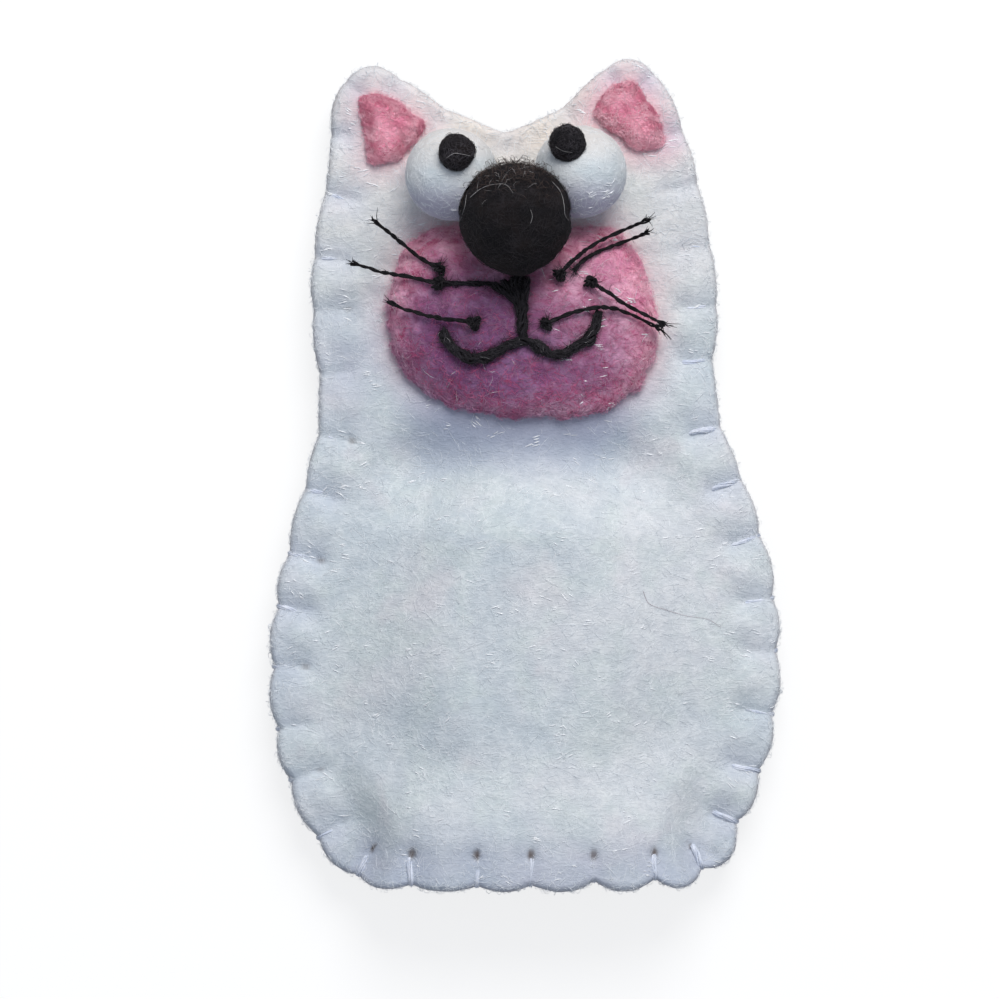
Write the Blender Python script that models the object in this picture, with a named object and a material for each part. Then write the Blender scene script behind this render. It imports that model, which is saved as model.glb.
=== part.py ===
"""Felt finger puppet: a white cat, 92 mm long, lying on its back with its face up.

A front and a back panel of thick felt are joined by one overcast thread that runs up one side,
over the ears and down the other. The bottom edges are overcast one by one, so that the pocket
between the panels stays open for a finger. The face is sewn on: a pink felt muzzle, pink ear
linings, two white felt balls with black beads for eyes, a black felt ball for the nose, and
black thread for the mouth and the whiskers.

Metres. +X is to the right of the face as it is looked at, +Y points to the ears and +Z is up,
out of the face. The origin is under the middle of the puppet, on the surface it lies on.
"""

import math

import bmesh
import bpy
import numpy as np
from mathutils import Vector
from mathutils.geometry import delaunay_2d_cdt

MM = 0.001

# Felt
FELT = 0.0020  # thickness of the white panels
MUZZLE_FELT = 0.0024
LINING_FELT = 0.0010
EDGE_ROUND = 0.00045  # how far a cut edge is rounded off
MUZZLE_ROUND = 0.0009

# Thread
SEAM_THREAD = 0.0008  # diameter
MOUTH_THREAD = 0.0012
WHISKER_THREAD = 0.0007
CHEEK_THREAD = 0.0005
KNOT = 0.0013  # diameter of the knot that a whisker starts from

# Clearances between pieces that touch on the real puppet
SEAT_GAP = 0.0003
SEWN_GAP = 0.0002
THREAD_GAP = 0.00025
FLOOR_GAP = 0.0001  # under the seam's thread

# Overcast stitches
STITCH_PITCH = 0.0066
STITCH_WANDER = 0.0004  # the stitches are made by hand
LEG = 0.0037  # from the edge to the needle hole
EAR_LEG = 0.0020
EAR_BASE_Y = 0.0375  # above this the stitches have short legs
NEEDLE_HOLE = 0.0015  # across the corners of the square hole
NOTCH = 0.0006  # how far a stitch pulls the edge in
PINCH = 0.0005  # how far a stitch presses the felt down
PINCH_WIDTH = 0.0009
PINCH_FADE = 0.0010  # beyond the needle hole
HEM_PINCH = 0.0009  # the same inside the pocket, in the bottom edge of the back
SEAM_END_Y = -0.0405  # below this the panels are not sewn to each other

# Pocket
POCKET_HEIGHT = 0.0067  # between the panels, in the body
HEAD_HEIGHT = 0.0030  # the same, behind the face
BODY_TOP_Y = -0.002  # the pocket has its full height up to here
HEAD_BASE_Y = 0.014  # and the height of the head from here
POCKET_RUN = 0.0170  # from the sewn border to full height
MOUTH_RUN = 0.0120  # the same at the open end, where the panels stand apart
MOUTH_FROM_Y, MOUTH_TO_Y = -0.040, -0.026
PUFF = 0.0007  # how high the front swells between two stitches
PUFF_FROM, PUFF_TO = 0.0008, 0.0066  # how far in from the edge it does
PUFF_FADE_Y = 0.020, 0.027  # and where it ends, below the eyes
SETTLE = 0.0030  # from the sewn border to where the back panel lies flat
FRONT_SETTLE = 0.0110

# Face
EYE_RADIUS = 0.0051
EYES = {"left": (-0.0081, 0.0332), "right": (0.0061, 0.0335)}
EYE_PRESS = 0.0006  # how far a felt ball is flattened where it is sewn on
PUPIL_RADIUS = 0.00205
PUPIL_OUT = 0.0006  # from the eyeball's surface to the middle of the bead
PUPILS = {"left": (0.0006, 0.0024), "right": (-0.0015, 0.0031)}  # from the eyeball's middle
NOSE_RADIUS = 0.0062
NOSE = (-0.0011, 0.0283)
NOSE_PRESS = 0.0008

# Outlines, in millimetres, anticlockwise
OUTLINE = [
    (-2.2, 38.2), (-6.2, 39.5), (-10.2, 41.6), (-13.4, 43.9), (-16.4, 45.2), (-19.0, 44.5),
    (-20.8, 42.1), (-21.5, 38.3), (-21.6, 34.3), (-22.6, 29.4), (-23.5, 22.8), (-23.4, 16.2),
    (-22.8, 10.7), (-22.8, 6.3), (-23.8, 1.3), (-25.1, -3.1), (-26.5, -8.6), (-27.6, -13.6),
    (-28.2, -20.0), (-27.9, -26.7), (-26.6, -32.8), (-24.4, -38.0), (-21.7, -42.0), (-17.6, -44.9),
    (-11.6, -45.5), (0.0, -45.6), (12.0, -45.5), (18.4, -44.9), (22.2, -42.5), (24.3, -38.2),
    (26.4, -32.2), (27.8, -26.2), (28.2, -19.0), (27.5, -11.3), (26.1, -5.8), (24.2, -0.3),
    (22.3, 4.1), (21.2, 8.5), (20.9, 12.9), (21.3, 18.4), (20.8, 23.9), (19.6, 30.5),
    (17.9, 37.1), (15.9, 42.2), (13.6, 45.2), (11.2, 46.0), (8.9, 45.2), (5.7, 42.2),
    (2.2, 39.7),
]
MUZZLE = [
    (-1.1, 26.4), (-6.0, 27.3), (-9.6, 27.4), (-12.2, 26.1), (-14.2, 22.4), (-15.2, 17.0),
    (-14.0, 12.7), (-10.4, 9.0), (-5.0, 7.1), (1.7, 6.6), (8.2, 7.1), (12.6, 10.1),
    (14.4, 15.1), (13.7, 20.2), (12.4, 24.2), (9.8, 27.1), (5.2, 27.3),
]
LININGS = {
    "left": [
        (-14.0, 41.1), (-16.1, 42.1), (-18.1, 41.4), (-17.5, 37.6), (-16.9, 34.5),
        (-14.2, 34.7), (-12.6, 36.6), (-11.0, 38.7),
    ],
    "right": [
        (12.3, 43.1), (10.5, 43.4), (8.7, 42.2), (7.6, 39.8), (9.2, 38.4), (12.6, 36.1),
        (15.2, 36.5), (15.2, 38.2), (13.6, 41.2),
    ],
}

# Black thread, as points in millimetres: across, along, and above the muzzle
PHILTRUM = [(-0.6, 22.8, 0), (-0.5, 20.6, 0), (-0.3, 18.4, 0), (-0.2, 16.2, 0)]
SMILE = [
    (-9.0, 15.9, 0), (-8.5, 14.9, 0), (-7.5, 13.8, 0), (-6.2, 13.1, 0), (-4.9, 13.0, 0),
    (-3.5, 13.5, 0), (-2.0, 14.3, 0), (-0.2, 14.9, 0), (1.2, 14.5, 0), (2.5, 13.6, 0),
    (3.8, 13.4, 0), (5.4, 14.2, 0), (7.0, 15.2, 0), (7.8, 16.8, 0),
]
CHEEK = [(-7.6, 21.2, 0), (-5.6, 21.25, 0), (-3.8, 21.1, 0), (-1.9, 20.4, 0)]
WHISKERS = {
    "left_upper_whisker": [
        (-9.4, 22.9, 0), (-10.4, 23.4, 0.1), (-12.0, 24.4, 0.2), (-14.4, 26.4, 0.3),
        (-16.7, 28.2, 0.6),
    ],
    "left_middle_whisker": [
        (-9.5, 21.2, 0), (-10.6, 21.5, 0.1), (-12.8, 22.0, 0.2), (-15.3, 22.4, 0.3),
        (-19.1, 23.5, 0.6),
    ],
    "left_lower_whisker": [
        (-5.6, 16.9, 0), (-7.0, 17.1, 0.1), (-10.2, 17.6, 0.2), (-12.8, 18.3, 0.3),
        (-15.0, 19.2, 0.5),
    ],
    "right_upper_whisker_1": [
        (3.8, 22.2, 0), (4.7, 23.2, 0.5), (6.3, 24.6, 0.9), (7.9, 25.7, 1.0), (10.6, 27.0, 1.1),
        (13.6, 28.3, 1.2),
    ],
    "right_upper_whisker_2": [
        (5.3, 22.6, 0), (6.1, 23.5, 0.1), (7.4, 24.4, 0.1), (9.2, 25.2, 0.1), (11.4, 26.0, 0.1),
        (13.6, 26.9, 0.2),
    ],
    "right_middle_whisker": [
        (7.2, 21.4, 0), (8.2, 20.8, 0.4), (9.2, 20.2, 0.8), (10.6, 19.2, 1.1), (12.4, 18.2, 1.2),
        (15.4, 16.7, 1.2),
    ],
    "right_lower_whisker": [
        (2.3, 16.8, 0), (3.2, 17.2, 0.1), (4.6, 17.8, 0.2), (6.7, 18.4, 0.2), (8.8, 18.6, 0.2),
        (11.0, 18.1, 0.2), (15.0, 16.2, 0.2),
    ],
}

# How fine the panels are
POINTS_A_STITCH = 4
PANEL_GRID = 0.0060
POINT_GAP = 0.0011  # points inside a panel's mesh lie no nearer than this to each other
MUZZLE_GRID = 0.0034
LINING_GRID = 0.0026

COLOURS = {
    "white felt": (0.79, 0.81, 0.83, 1.0),
    "pink felt": (0.56, 0.20, 0.29, 1.0),
    "black felt": (0.012, 0.011, 0.012, 1.0),
    "white thread": (0.80, 0.83, 0.90, 1.0),
    "black thread": (0.010, 0.010, 0.012, 1.0),
}


def material(name):
    found = bpy.data.materials.get(name)
    if found:
        return found
    made = bpy.data.materials.new(name)
    made.use_nodes = True
    shader = made.node_tree.nodes["Principled BSDF"]
    shader.inputs["Base Color"].default_value = COLOURS[name]
    shader.inputs["Roughness"].default_value = 0.45 if "thread" in name else 0.95
    shader.inputs["Metallic"].default_value = 0.0
    made.diffuse_color = COLOURS[name]
    return made


def add_object(name, data, finish, collection):
    piece = bpy.data.objects.new(name, data)
    piece.data.materials.append(material(finish))
    collection.objects.link(piece)
    return piece


def ease(value, low, high):
    """0 below low, 1 above high, and a smooth step between them."""
    share = np.clip((value - low) / (high - low), 0.0, 1.0)
    return share * share * (3 - 2 * share)


def smooth_loop(points, steps):
    """Points along a closed centripetal Catmull-Rom curve through the given ones."""
    points = [np.array(p, float) for p in points]
    count = len(points)
    made = []
    for i in range(count):
        a, b, c, d = (points[(i + k) % count] for k in (-1, 0, 1, 2))
        t0 = 0.0
        t1 = t0 + math.sqrt(np.linalg.norm(b - a))
        t2 = t1 + math.sqrt(np.linalg.norm(c - b))
        t3 = t2 + math.sqrt(np.linalg.norm(d - c))
        for step in range(steps):
            t = t1 + (t2 - t1) * step / steps
            ab = a + (b - a) * (t - t0) / (t1 - t0)
            bc = b + (c - b) * (t - t1) / (t2 - t1)
            cd = c + (d - c) * (t - t2) / (t3 - t2)
            abc = ab + (bc - ab) * (t - t0) / (t2 - t0)
            bcd = bc + (cd - bc) * (t - t1) / (t3 - t1)
            made.append(abc + (bcd - abc) * (t - t1) / (t2 - t1))
    return np.array(made)


class Edge:
    """The smooth closed outline of a felt piece, measured along its length."""

    def __init__(self, outline, steps=12):
        self.points = smooth_loop(outline, steps) * MM
        ahead = np.roll(self.points, -1, axis=0)
        self.along = ahead - self.points
        self.spans = np.linalg.norm(self.along, axis=1)
        self.start = np.concatenate([[0.0], np.cumsum(self.spans)])
        self.length = self.start[-1]

    def place(self, travel, inset):
        """The point at a distance along the edge, moved in from it."""
        travel = travel % self.length
        span = int(np.searchsorted(self.start, travel, side="right")) - 1
        span = min(span, len(self.spans) - 1)
        here = self.points[span] + self.along[span] * (travel - self.start[span]) / self.spans[span]
        reach = 2
        tangent = sum(self.along[(span + k) % len(self.spans)] for k in range(-reach, reach + 1))
        tangent /= np.linalg.norm(tangent)
        return here + inset * np.array([-tangent[1], tangent[0]])

    def nearest(self, spots, part=None):
        """How far along the edge, and how far from it, each spot lies."""
        starts, along, spans = self.points, self.along, self.spans
        first = self.start[:-1]
        if part is not None:
            starts, along, spans, first = starts[part], along[part], spans[part], first[part]
        away = spots[:, None, :] - starts[None]
        share = np.clip((away * along[None]).sum(2) / (spans * spans)[None], 0.0, 1.0)
        gaps = np.linalg.norm(away - share[..., None] * along[None], axis=2)
        best = gaps.argmin(axis=1)
        rows = np.arange(len(spots))
        return first[best] + share[rows, best] * spans[best], gaps[rows, best]


class Puppet:
    """The shape of the two sewn panels, as heights over the surface that they lie on."""

    def __init__(self):
        self.edge = Edge(OUTLINE)
        count = round(self.edge.length / STITCH_PITCH)
        self.pitch = self.edge.length / count
        self.stitches = np.array(
            [i * self.pitch + STITCH_WANDER * math.sin(2.4 * i) for i in range(count)]
        )
        spots = np.array([self.edge.place(s, 0.0) for s in self.stitches])
        self.legs = np.where(spots[:, 1] > EAR_BASE_Y, EAR_LEG, LEG)
        self.hem = [i for i in range(count) if spots[i, 1] < SEAM_END_Y]
        self.back_hem = self.hem[1:-1]
        self.sewn = [i % count for i in range(self.hem[-1] + 1, self.hem[0] + count)]
        ends = self.stitches[self.sewn[0]], self.stitches[self.sewn[-1]]
        start = self.edge.start[:-1]
        self.sewn_part = np.flatnonzero((start >= ends[0]) | (start <= ends[1]))
        self.rim_lift = SEAM_THREAD + THREAD_GAP + FLOOR_GAP
        self.border = LEG + NEEDLE_HOLE / 2

    def order(self, travel):
        """The number of the stitch at a place on the edge, as a fraction between two stitches."""
        known = np.concatenate([self.stitches, [self.edge.length]])
        return np.interp(travel, known, np.arange(len(known)))

    def phase(self, travel):
        """The share of the way from one stitch to the next."""
        return self.order(travel) % 1.0

    def notch(self, travel):
        """How far the edge is pulled in: round bulges between the stitches."""
        return NOTCH * (1 - np.sqrt(np.abs(np.sin(np.pi * self.phase(travel)))))

    def heights(self, spots):
        """Underside and top of the back panel, then of the front panel, at each spot."""
        spots = np.atleast_2d(np.array(spots, float))[:, :2]
        travel, depth = self.edge.nearest(spots)
        sewn_travel, inside = self.edge.nearest(spots, self.sewn_part)
        share = self.phase(travel)
        off = np.minimum(share, 1 - share) * self.pitch
        nearest = np.rint(self.order(travel)).astype(int) % len(self.stitches)
        reach = self.legs[nearest] + NEEDLE_HOLE / 2
        lift = self.rim_lift * (1 - ease(depth, self.border, self.border + SETTLE))
        pressed = np.exp(-((off / PINCH_WIDTH) ** 2)) * (1 - ease(depth, reach, reach + PINCH_FADE))
        back_top = lift + FELT - HEM_PINCH * pressed * np.isin(nearest, self.back_hem)
        front_lift = self.rim_lift * (1 - ease(depth, self.border, self.border + FRONT_SETTLE))
        tall = POCKET_HEIGHT + (HEAD_HEIGHT - POCKET_HEIGHT) * ease(spots[:, 1], BODY_TOP_Y, HEAD_BASE_Y)
        mouth = 1 - ease(spots[:, 1], MOUTH_FROM_Y, MOUTH_TO_Y)
        rise = ease(inside, self.border, self.border + POCKET_RUN)
        fast_rise = 1 - (1 - np.clip((inside - self.border) / MOUTH_RUN, 0.0, 1.0)) ** 2
        vault = tall * (rise + np.maximum(fast_rise - rise, 0.0) * mouth)
        swell = np.clip((inside - PUFF_FROM) / (PUFF_TO - PUFF_FROM), 0.0, 1.0)
        puff = PUFF * np.sin(np.pi * self.phase(sewn_travel)) ** 2 * np.sin(np.pi * swell) ** 2
        puff *= 1 - ease(spots[:, 1], *PUFF_FADE_Y)
        front_under = front_lift + FELT + SEWN_GAP + vault + puff
        return lift, back_top, front_under, front_under + FELT - PINCH * pressed

    def front_top(self, spots):
        return self.heights(spots)[3]

    def muzzle_under(self, spots):
        return self.front_top(spots) + SEAT_GAP

    def muzzle_top(self, spots):
        return self.muzzle_under(spots) + MUZZLE_FELT


def flat_mesh(rim, holes, inner, spacing):
    """A triangle mesh inside the rim, round the holes, with the inner points kept apart."""
    kept = [np.array(p) for p in [*rim, *(corner for hole in holes for corner in hole)]]
    for spot in inner:
        if min(np.linalg.norm(spot - other) for other in kept) > spacing:
            kept.append(spot)
    edges = [(i, (i + 1) % len(rim)) for i in range(len(rim))]
    hole_of, base = {}, len(rim)
    for number, hole in enumerate(holes):
        edges += [(base + i, base + (i + 1) % len(hole)) for i in range(len(hole))]
        hole_of.update({base + i: number for i in range(len(hole))})
        base += len(hole)
    flat = [Vector(p) / MM for p in kept]
    points, _, faces, origins, *_ = delaunay_2d_cdt(flat, edges, [list(range(len(rim)))], 1, 1e-6)

    def in_hole(face):
        return len({hole_of.get(origins[i][0], -1 - i) for i in face}) == 1

    solid = [face for face in faces if not in_hole(face)]
    return [(p.x * MM, p.y * MM, 0.0) for p in points], solid


def felt_solid(name, rim, shoulder, holes, inner, spacing, under, top, finish, collection):
    """A felt piece: two skins with a rounded cut edge that swells out to the rim."""
    points, faces = flat_mesh(shoulder, holes, inner, spacing)
    mesh = bpy.data.meshes.new(name)
    mesh.from_pydata(points, [], faces)
    shape = bmesh.new()
    shape.from_mesh(mesh)
    raised = bmesh.ops.extrude_face_region(shape, geom=list(shape.faces))
    upper = [item for item in raised["geom"] if isinstance(item, bmesh.types.BMVert)]
    bmesh.ops.translate(shape, verts=upper, vec=(0, 0, 1))
    ring = np.array(shoulder)

    def on_shoulder(vert):
        return np.linalg.norm(ring - vert.co[:2], axis=1).min() < 0.001 * MM

    upright = [edge for edge in shape.edges if edge.verts[0].co.z != edge.verts[1].co.z]
    walls = [edge for edge in upright if on_shoulder(edge.verts[0])]
    bmesh.ops.subdivide_edges(shape, edges=walls, cuts=1)
    spots = np.array([vert.co[:2] for vert in shape.verts])
    for vert, spot, low, high in zip(shape.verts, spots, under(spots), top(spots)):
        share = vert.co.z
        vert.co.z = low + (high - low) * share
        if 0 < share < 1:
            vert.co.x, vert.co.y = rim[np.linalg.norm(ring - spot, axis=1).argmin()]
    bmesh.ops.triangulate(shape, faces=shape.faces)
    bmesh.ops.recalc_face_normals(shape, faces=shape.faces)
    shape.to_mesh(mesh)
    shape.free()
    return add_object(name, mesh, finish, collection)


def grid_points(box, spacing):
    """Staggered rows of points over a box."""
    (x0, y0), (x1, y1) = box
    rows = np.arange(y0, y1, spacing * math.sqrt(3) / 2)
    return [
        np.array([x, y])
        for row, y in enumerate(rows)
        for x in np.arange(x0 + (row % 2) * spacing / 2, x1, spacing)
    ]


def add_panel(name, puppet, levels, collection):
    """The front or back panel, with a needle hole under the end of each stitch's leg."""
    edge, pitch = puppet.edge, puppet.pitch
    travel = []
    for here, ahead in zip(puppet.stitches, [*puppet.stitches[1:], edge.length]):
        travel += [here + (ahead - here) * k / POINTS_A_STITCH for k in range(POINTS_A_STITCH)]
    insets = puppet.notch(np.array(travel))
    rim = [edge.place(s, inset) for s, inset in zip(travel, insets)]
    shoulder = [edge.place(s, inset + EDGE_ROUND) for s, inset in zip(travel, insets)]
    holes, inner = [], []
    for s, leg in zip(puppet.stitches, puppet.legs):
        middle, half = edge.place(s, leg), NEEDLE_HOLE / 2
        inward = edge.place(s, leg + half) - middle
        across = np.array([-inward[1], inward[0]])
        holes.append([middle - inward, middle + across, middle + inward, middle - across])
        inner.append(edge.place(s, (NOTCH + EDGE_ROUND + leg - half) / 2))
        inner.append(edge.place(s + pitch / 2, puppet.border / 2))
    for s in puppet.stitches:
        inner.append(edge.place(s + pitch / 2, puppet.border))
        inner.append(edge.place(s, puppet.border + SETTLE / 2))
    box = edge.points.min(0), edge.points.max(0)
    grid = np.array(grid_points(box, PANEL_GRID))
    _, depth = edge.nearest(grid)
    inner += [spot for spot, d in zip(grid, depth) if d > puppet.border + SETTLE]
    _, depth = edge.nearest(np.array(inner))
    margin = NOTCH + EDGE_ROUND + POINT_GAP / 3
    inner = [spot for spot, d in zip(inner, depth) if d > margin and within(edge, spot)]
    under, top = levels
    return felt_solid(
        name, rim, shoulder, holes, inner, POINT_GAP,
        lambda spots: puppet.heights(spots)[under], lambda spots: puppet.heights(spots)[top],
        "white felt", collection,
    )


def within(edge, spot):
    """Whether a spot lies inside the outline, by counting crossings to its right."""
    x, y = spot
    a, b = edge.points, np.roll(edge.points, -1, axis=0)
    crossed = (a[:, 1] > y) != (b[:, 1] > y)
    at = a[:, 0] + (y - a[:, 1]) / np.where(crossed, b[:, 1] - a[:, 1], 1.0) * (b[:, 0] - a[:, 0])
    return bool((crossed & (at > x)).sum() % 2)


def add_patch(name, outline, rounding, grid, thickness, under, count, collection):
    """A small felt piece that lies on the front panel."""
    edge = Edge(outline)
    travel = [edge.length * i / count for i in range(count)]
    rim = [edge.place(s, 0.0) for s in travel]
    shoulder = [edge.place(s, rounding) for s in travel]
    box = edge.points.min(0), edge.points.max(0)
    spots = np.array(grid_points(box, grid))
    _, depth = edge.nearest(spots)
    inner = [spot for spot, d in zip(spots, depth) if d > rounding + grid / 3 and within(edge, spot)]
    return felt_solid(
        name, rim, shoulder, [], inner, grid / 3, under, lambda s: under(s) + thickness,
        "pink felt", collection,
    )


def add_tube(name, points, diameter, finish, collection, widths=None, sides=1):
    """A thread along the points. Widths are the diameters at the points."""
    curve = bpy.data.curves.new(name, "CURVE")
    curve.dimensions = "3D"
    curve.bevel_depth = diameter / 2
    curve.bevel_resolution = sides
    curve.use_fill_caps = True
    spline = curve.splines.new("POLY")
    spline.points.add(len(points) - 1)
    for index, spot in enumerate(points):
        spline.points[index].co = (*spot, 1.0)
        spline.points[index].radius = widths[index] / diameter if widths else 1.0
    return add_object(name, curve, finish, collection)


def offset_line(line, distance):
    """A line of (inset, height) points moved off to its left, with mitred corners."""
    line = np.array(line, float)
    runs = np.diff(line, axis=0)
    runs /= np.linalg.norm(runs, axis=1)[:, None]
    sides = np.column_stack([-runs[:, 1], runs[:, 0]])
    moved = [line[0] + distance * sides[0]]
    for spot, before, after in zip(line[1:-1], sides, sides[1:]):
        middle = before + after
        moved.append(spot + distance * middle * 2 / (middle @ middle))
    moved.append(line[-1] + distance * sides[-1])
    return moved


def thread_path(puppet, stitches, under, top):
    """An overcast thread: round the edge, along the top to the hole, down, and on below.

    Each stitch wraps the layers between the two levels given.
    """
    edge, away = puppet.edge, SEAM_THREAD / 2 + THREAD_GAP
    half, turn = NEEDLE_HOLE / 2, SEAM_THREAD / 3
    path = []
    for order, index in enumerate(stitches):
        s, leg = puppet.stitches[index], puppet.legs[index]

        def level(inset, which, at=s):
            """The skin's height, as far out as it reaches under the thread's width."""
            spots = [edge.place(at + side * SEAM_THREAD / 2, inset) for side in (-1, 0, 1)]
            found = puppet.heights(spots)[which]
            return found.max() if which in (1, 3) else found.min()

        shoulder = NOTCH + EDGE_ROUND
        rims = [(level(shoulder, k) + level(shoulder, k + 1)) / 2 for k in range(under, top, 2)]
        section = [
            (shoulder + SEAM_THREAD / 2, level(shoulder, under)),
            (shoulder, level(shoulder, under)),
            *((NOTCH, middle) for middle in rims),
            (shoulder, level(shoulder, top)),
            (leg - half, level(leg - half, top)),
        ]
        line = offset_line(section, away)
        line.append((leg - turn, level(leg - half, top) + away * 0.8))
        line.append((leg, level(leg, top) - turn))
        line.append((leg, level(leg, under) + turn))
        line.append((leg - turn, level(leg, under) - away))
        path += [(*edge.place(s, inset), height) for inset, height in line]
        if order < len(stitches) - 1:
            ahead = puppet.stitches[stitches[order + 1]]
            ahead += edge.length if ahead < s else 0.0
            halfway = (edge.place(s, leg) + edge.place(ahead, shoulder)) / 2
            path.append((*halfway, level((leg + shoulder) / 2, under, (s + ahead) / 2) - away))
    return path


def thread_on_face(puppet, points, diameter):
    """Places a thread on the muzzle, from points given across, along and above it."""
    line = np.array(points, float) * MM
    return [
        (x, y, level + diameter / 2 + SEWN_GAP + above)
        for (x, y, above), level in zip(line, puppet.muzzle_top(line))
    ]


def pressed_ball(name, middle, radius, seat, finish, collection, divisions=3):
    """A felt ball, flattened where it lies on the seat."""
    shape = bmesh.new()
    bmesh.ops.create_icosphere(shape, subdivisions=divisions, radius=radius)
    bmesh.ops.translate(shape, verts=shape.verts, vec=middle)
    floor = seat(np.array([vert.co[:2] for vert in shape.verts]))
    for vert, lowest in zip(shape.verts, floor):
        vert.co.z = max(vert.co.z, lowest + SEAT_GAP)
    mesh = bpy.data.meshes.new(name)
    shape.to_mesh(mesh)
    shape.free()
    mesh.shade_smooth()
    return add_object(name, mesh, finish, collection)


def cut_by_ball(piece, name, middle, radius, cutters):
    """Dents a piece where a ball is pressed into it."""
    shape = bmesh.new()
    bmesh.ops.create_icosphere(shape, subdivisions=3, radius=radius + SEWN_GAP)
    bmesh.ops.translate(shape, verts=shape.verts, vec=middle)
    mesh = bpy.data.meshes.new(name)
    shape.to_mesh(mesh)
    shape.free()
    cutter = bpy.data.objects.new(name, mesh)
    cutter.hide_render = True
    cutter.display_type = "WIRE"
    cutters.objects.link(cutter)
    dent = piece.modifiers.new(name, "BOOLEAN")
    dent.operation = "DIFFERENCE"
    dent.solver = "EXACT"
    dent.object = cutter


def add_face(puppet, collection, cutters):
    add_patch(
        "muzzle_patch", MUZZLE, MUZZLE_ROUND, MUZZLE_GRID, MUZZLE_FELT, puppet.muzzle_under, 44,
        collection,
    )
    for side, outline in LININGS.items():
        add_patch(
            f"{side}_ear_lining", outline, EDGE_ROUND, LINING_GRID, LINING_FELT,
            puppet.muzzle_under, 26, collection,
        )
    nose_seat = puppet.muzzle_top([NOSE])[0]
    nose = Vector((*NOSE, nose_seat + SEAT_GAP + NOSE_RADIUS - NOSE_PRESS))
    pressed_ball("nose_ball", nose, NOSE_RADIUS, puppet.muzzle_top, "black felt", collection)
    for side, (x, y) in EYES.items():
        seat = puppet.front_top([(x, y)])[0]
        middle = Vector((x, y, seat + SEAT_GAP + EYE_RADIUS - EYE_PRESS))
        eye = pressed_ball(
            f"{side}_eye_ball", middle, EYE_RADIUS, puppet.front_top, "white felt", collection
        )
        across, along = PUPILS[side]
        out = EYE_RADIUS + PUPIL_OUT
        bead = middle + Vector((across, along, math.sqrt(out**2 - across**2 - along**2)))
        pressed_ball(
            f"{side}_pupil", bead, PUPIL_RADIUS, puppet.front_top, "black felt", collection, 2
        )
        cut_by_ball(eye, f"{side}_nose_dent", nose, NOSE_RADIUS, cutters)
        cut_by_ball(eye, f"{side}_pupil_dent", bead, PUPIL_RADIUS, cutters)


def add_black_thread(puppet, collection):
    for name, points, diameter in (
        ("philtrum_stitch", PHILTRUM, MOUTH_THREAD),
        ("smile_stitch", SMILE, MOUTH_THREAD),
        ("cheek_stitch", CHEEK, CHEEK_THREAD),
    ):
        line = thread_on_face(puppet, points, diameter)
        add_tube(name, line, diameter, "black thread", collection)
    for name, points in WHISKERS.items():
        (x, y, _), (next_x, next_y, _) = points[0], points[1]
        step = np.array([next_x - x, next_y - y])
        step *= 0.9 * KNOT / MM / np.linalg.norm(step) / 2
        lead = [(x - step[0], y - step[1], 0.0), (x, y, 0.0), (x + step[0], y + step[1], 0.0)]
        line = thread_on_face(puppet, [*lead, *points[1:]], KNOT)
        widths = [WHISKER_THREAD, KNOT] + [WHISKER_THREAD] * (len(line) - 2)
        add_tube(name, line, WHISKER_THREAD, "black thread", collection, widths, 0)


def build():
    for piece in list(bpy.data.objects):
        bpy.data.objects.remove(piece, do_unlink=True)
    parts = bpy.data.collections.new("finger_puppet")
    cutters = bpy.data.collections.new("cutters")
    bpy.context.scene.collection.children.link(parts)
    bpy.context.scene.collection.children.link(cutters)
    puppet = Puppet()
    add_panel("back_panel", puppet, (0, 1), parts)
    add_panel("front_panel", puppet, (2, 3), parts)
    for name, stitches, under, top in (
        ("seam_thread", puppet.sewn, 0, 3),
        ("back_hem_thread", puppet.back_hem, 0, 1),
        ("front_hem_thread", puppet.hem, 2, 3),
    ):
        path = thread_path(puppet, stitches, under, top)
        add_tube(name, path, SEAM_THREAD, "white thread", parts, sides=0)
    add_face(puppet, parts, cutters)
    add_black_thread(puppet, parts)


build()
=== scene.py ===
"""The looks of a hand-sewn felt finger puppet: a white cat that lies on its back.

Each felt piece is a thick plate that is cut to its outline, swollen between the stitches and
covered with matted and stray fibres. The threads are twisted from their strands. Metres, in the
frame of the part: +X to the right of the face, +Y to the ears and +Z up, out of the face.
"""

import math
import random

import bmesh
import bpy
import numpy as np
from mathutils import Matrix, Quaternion, Vector, noise
from mathutils.bvhtree import BVHTree
from mathutils.kdtree import KDTree

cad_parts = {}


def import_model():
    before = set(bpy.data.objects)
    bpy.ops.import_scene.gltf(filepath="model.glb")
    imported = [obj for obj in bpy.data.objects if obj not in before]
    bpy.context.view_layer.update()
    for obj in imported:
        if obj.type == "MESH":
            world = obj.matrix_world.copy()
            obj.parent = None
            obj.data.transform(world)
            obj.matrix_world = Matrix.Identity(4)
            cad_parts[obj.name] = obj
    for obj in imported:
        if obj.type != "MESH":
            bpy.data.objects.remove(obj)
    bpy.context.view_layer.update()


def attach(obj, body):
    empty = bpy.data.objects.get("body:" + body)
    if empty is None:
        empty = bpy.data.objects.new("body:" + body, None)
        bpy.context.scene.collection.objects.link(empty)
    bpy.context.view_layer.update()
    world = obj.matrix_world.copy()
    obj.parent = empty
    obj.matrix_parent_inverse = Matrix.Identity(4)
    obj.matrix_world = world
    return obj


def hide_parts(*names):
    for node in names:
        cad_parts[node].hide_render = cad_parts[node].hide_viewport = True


MM = 0.001

# Felt
FELT = 0.0020
MUZZLE_FELT = 0.0024
LINING_FELT = 0.0010
EDGE_ROUND = 0.00045
CUT_EDGE_SWELL = 0.0007  # how far in the cut edge of the white felt is rounded
CUT_EDGE_RUN = 0.0030  # how far in the faces make room for that

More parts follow.
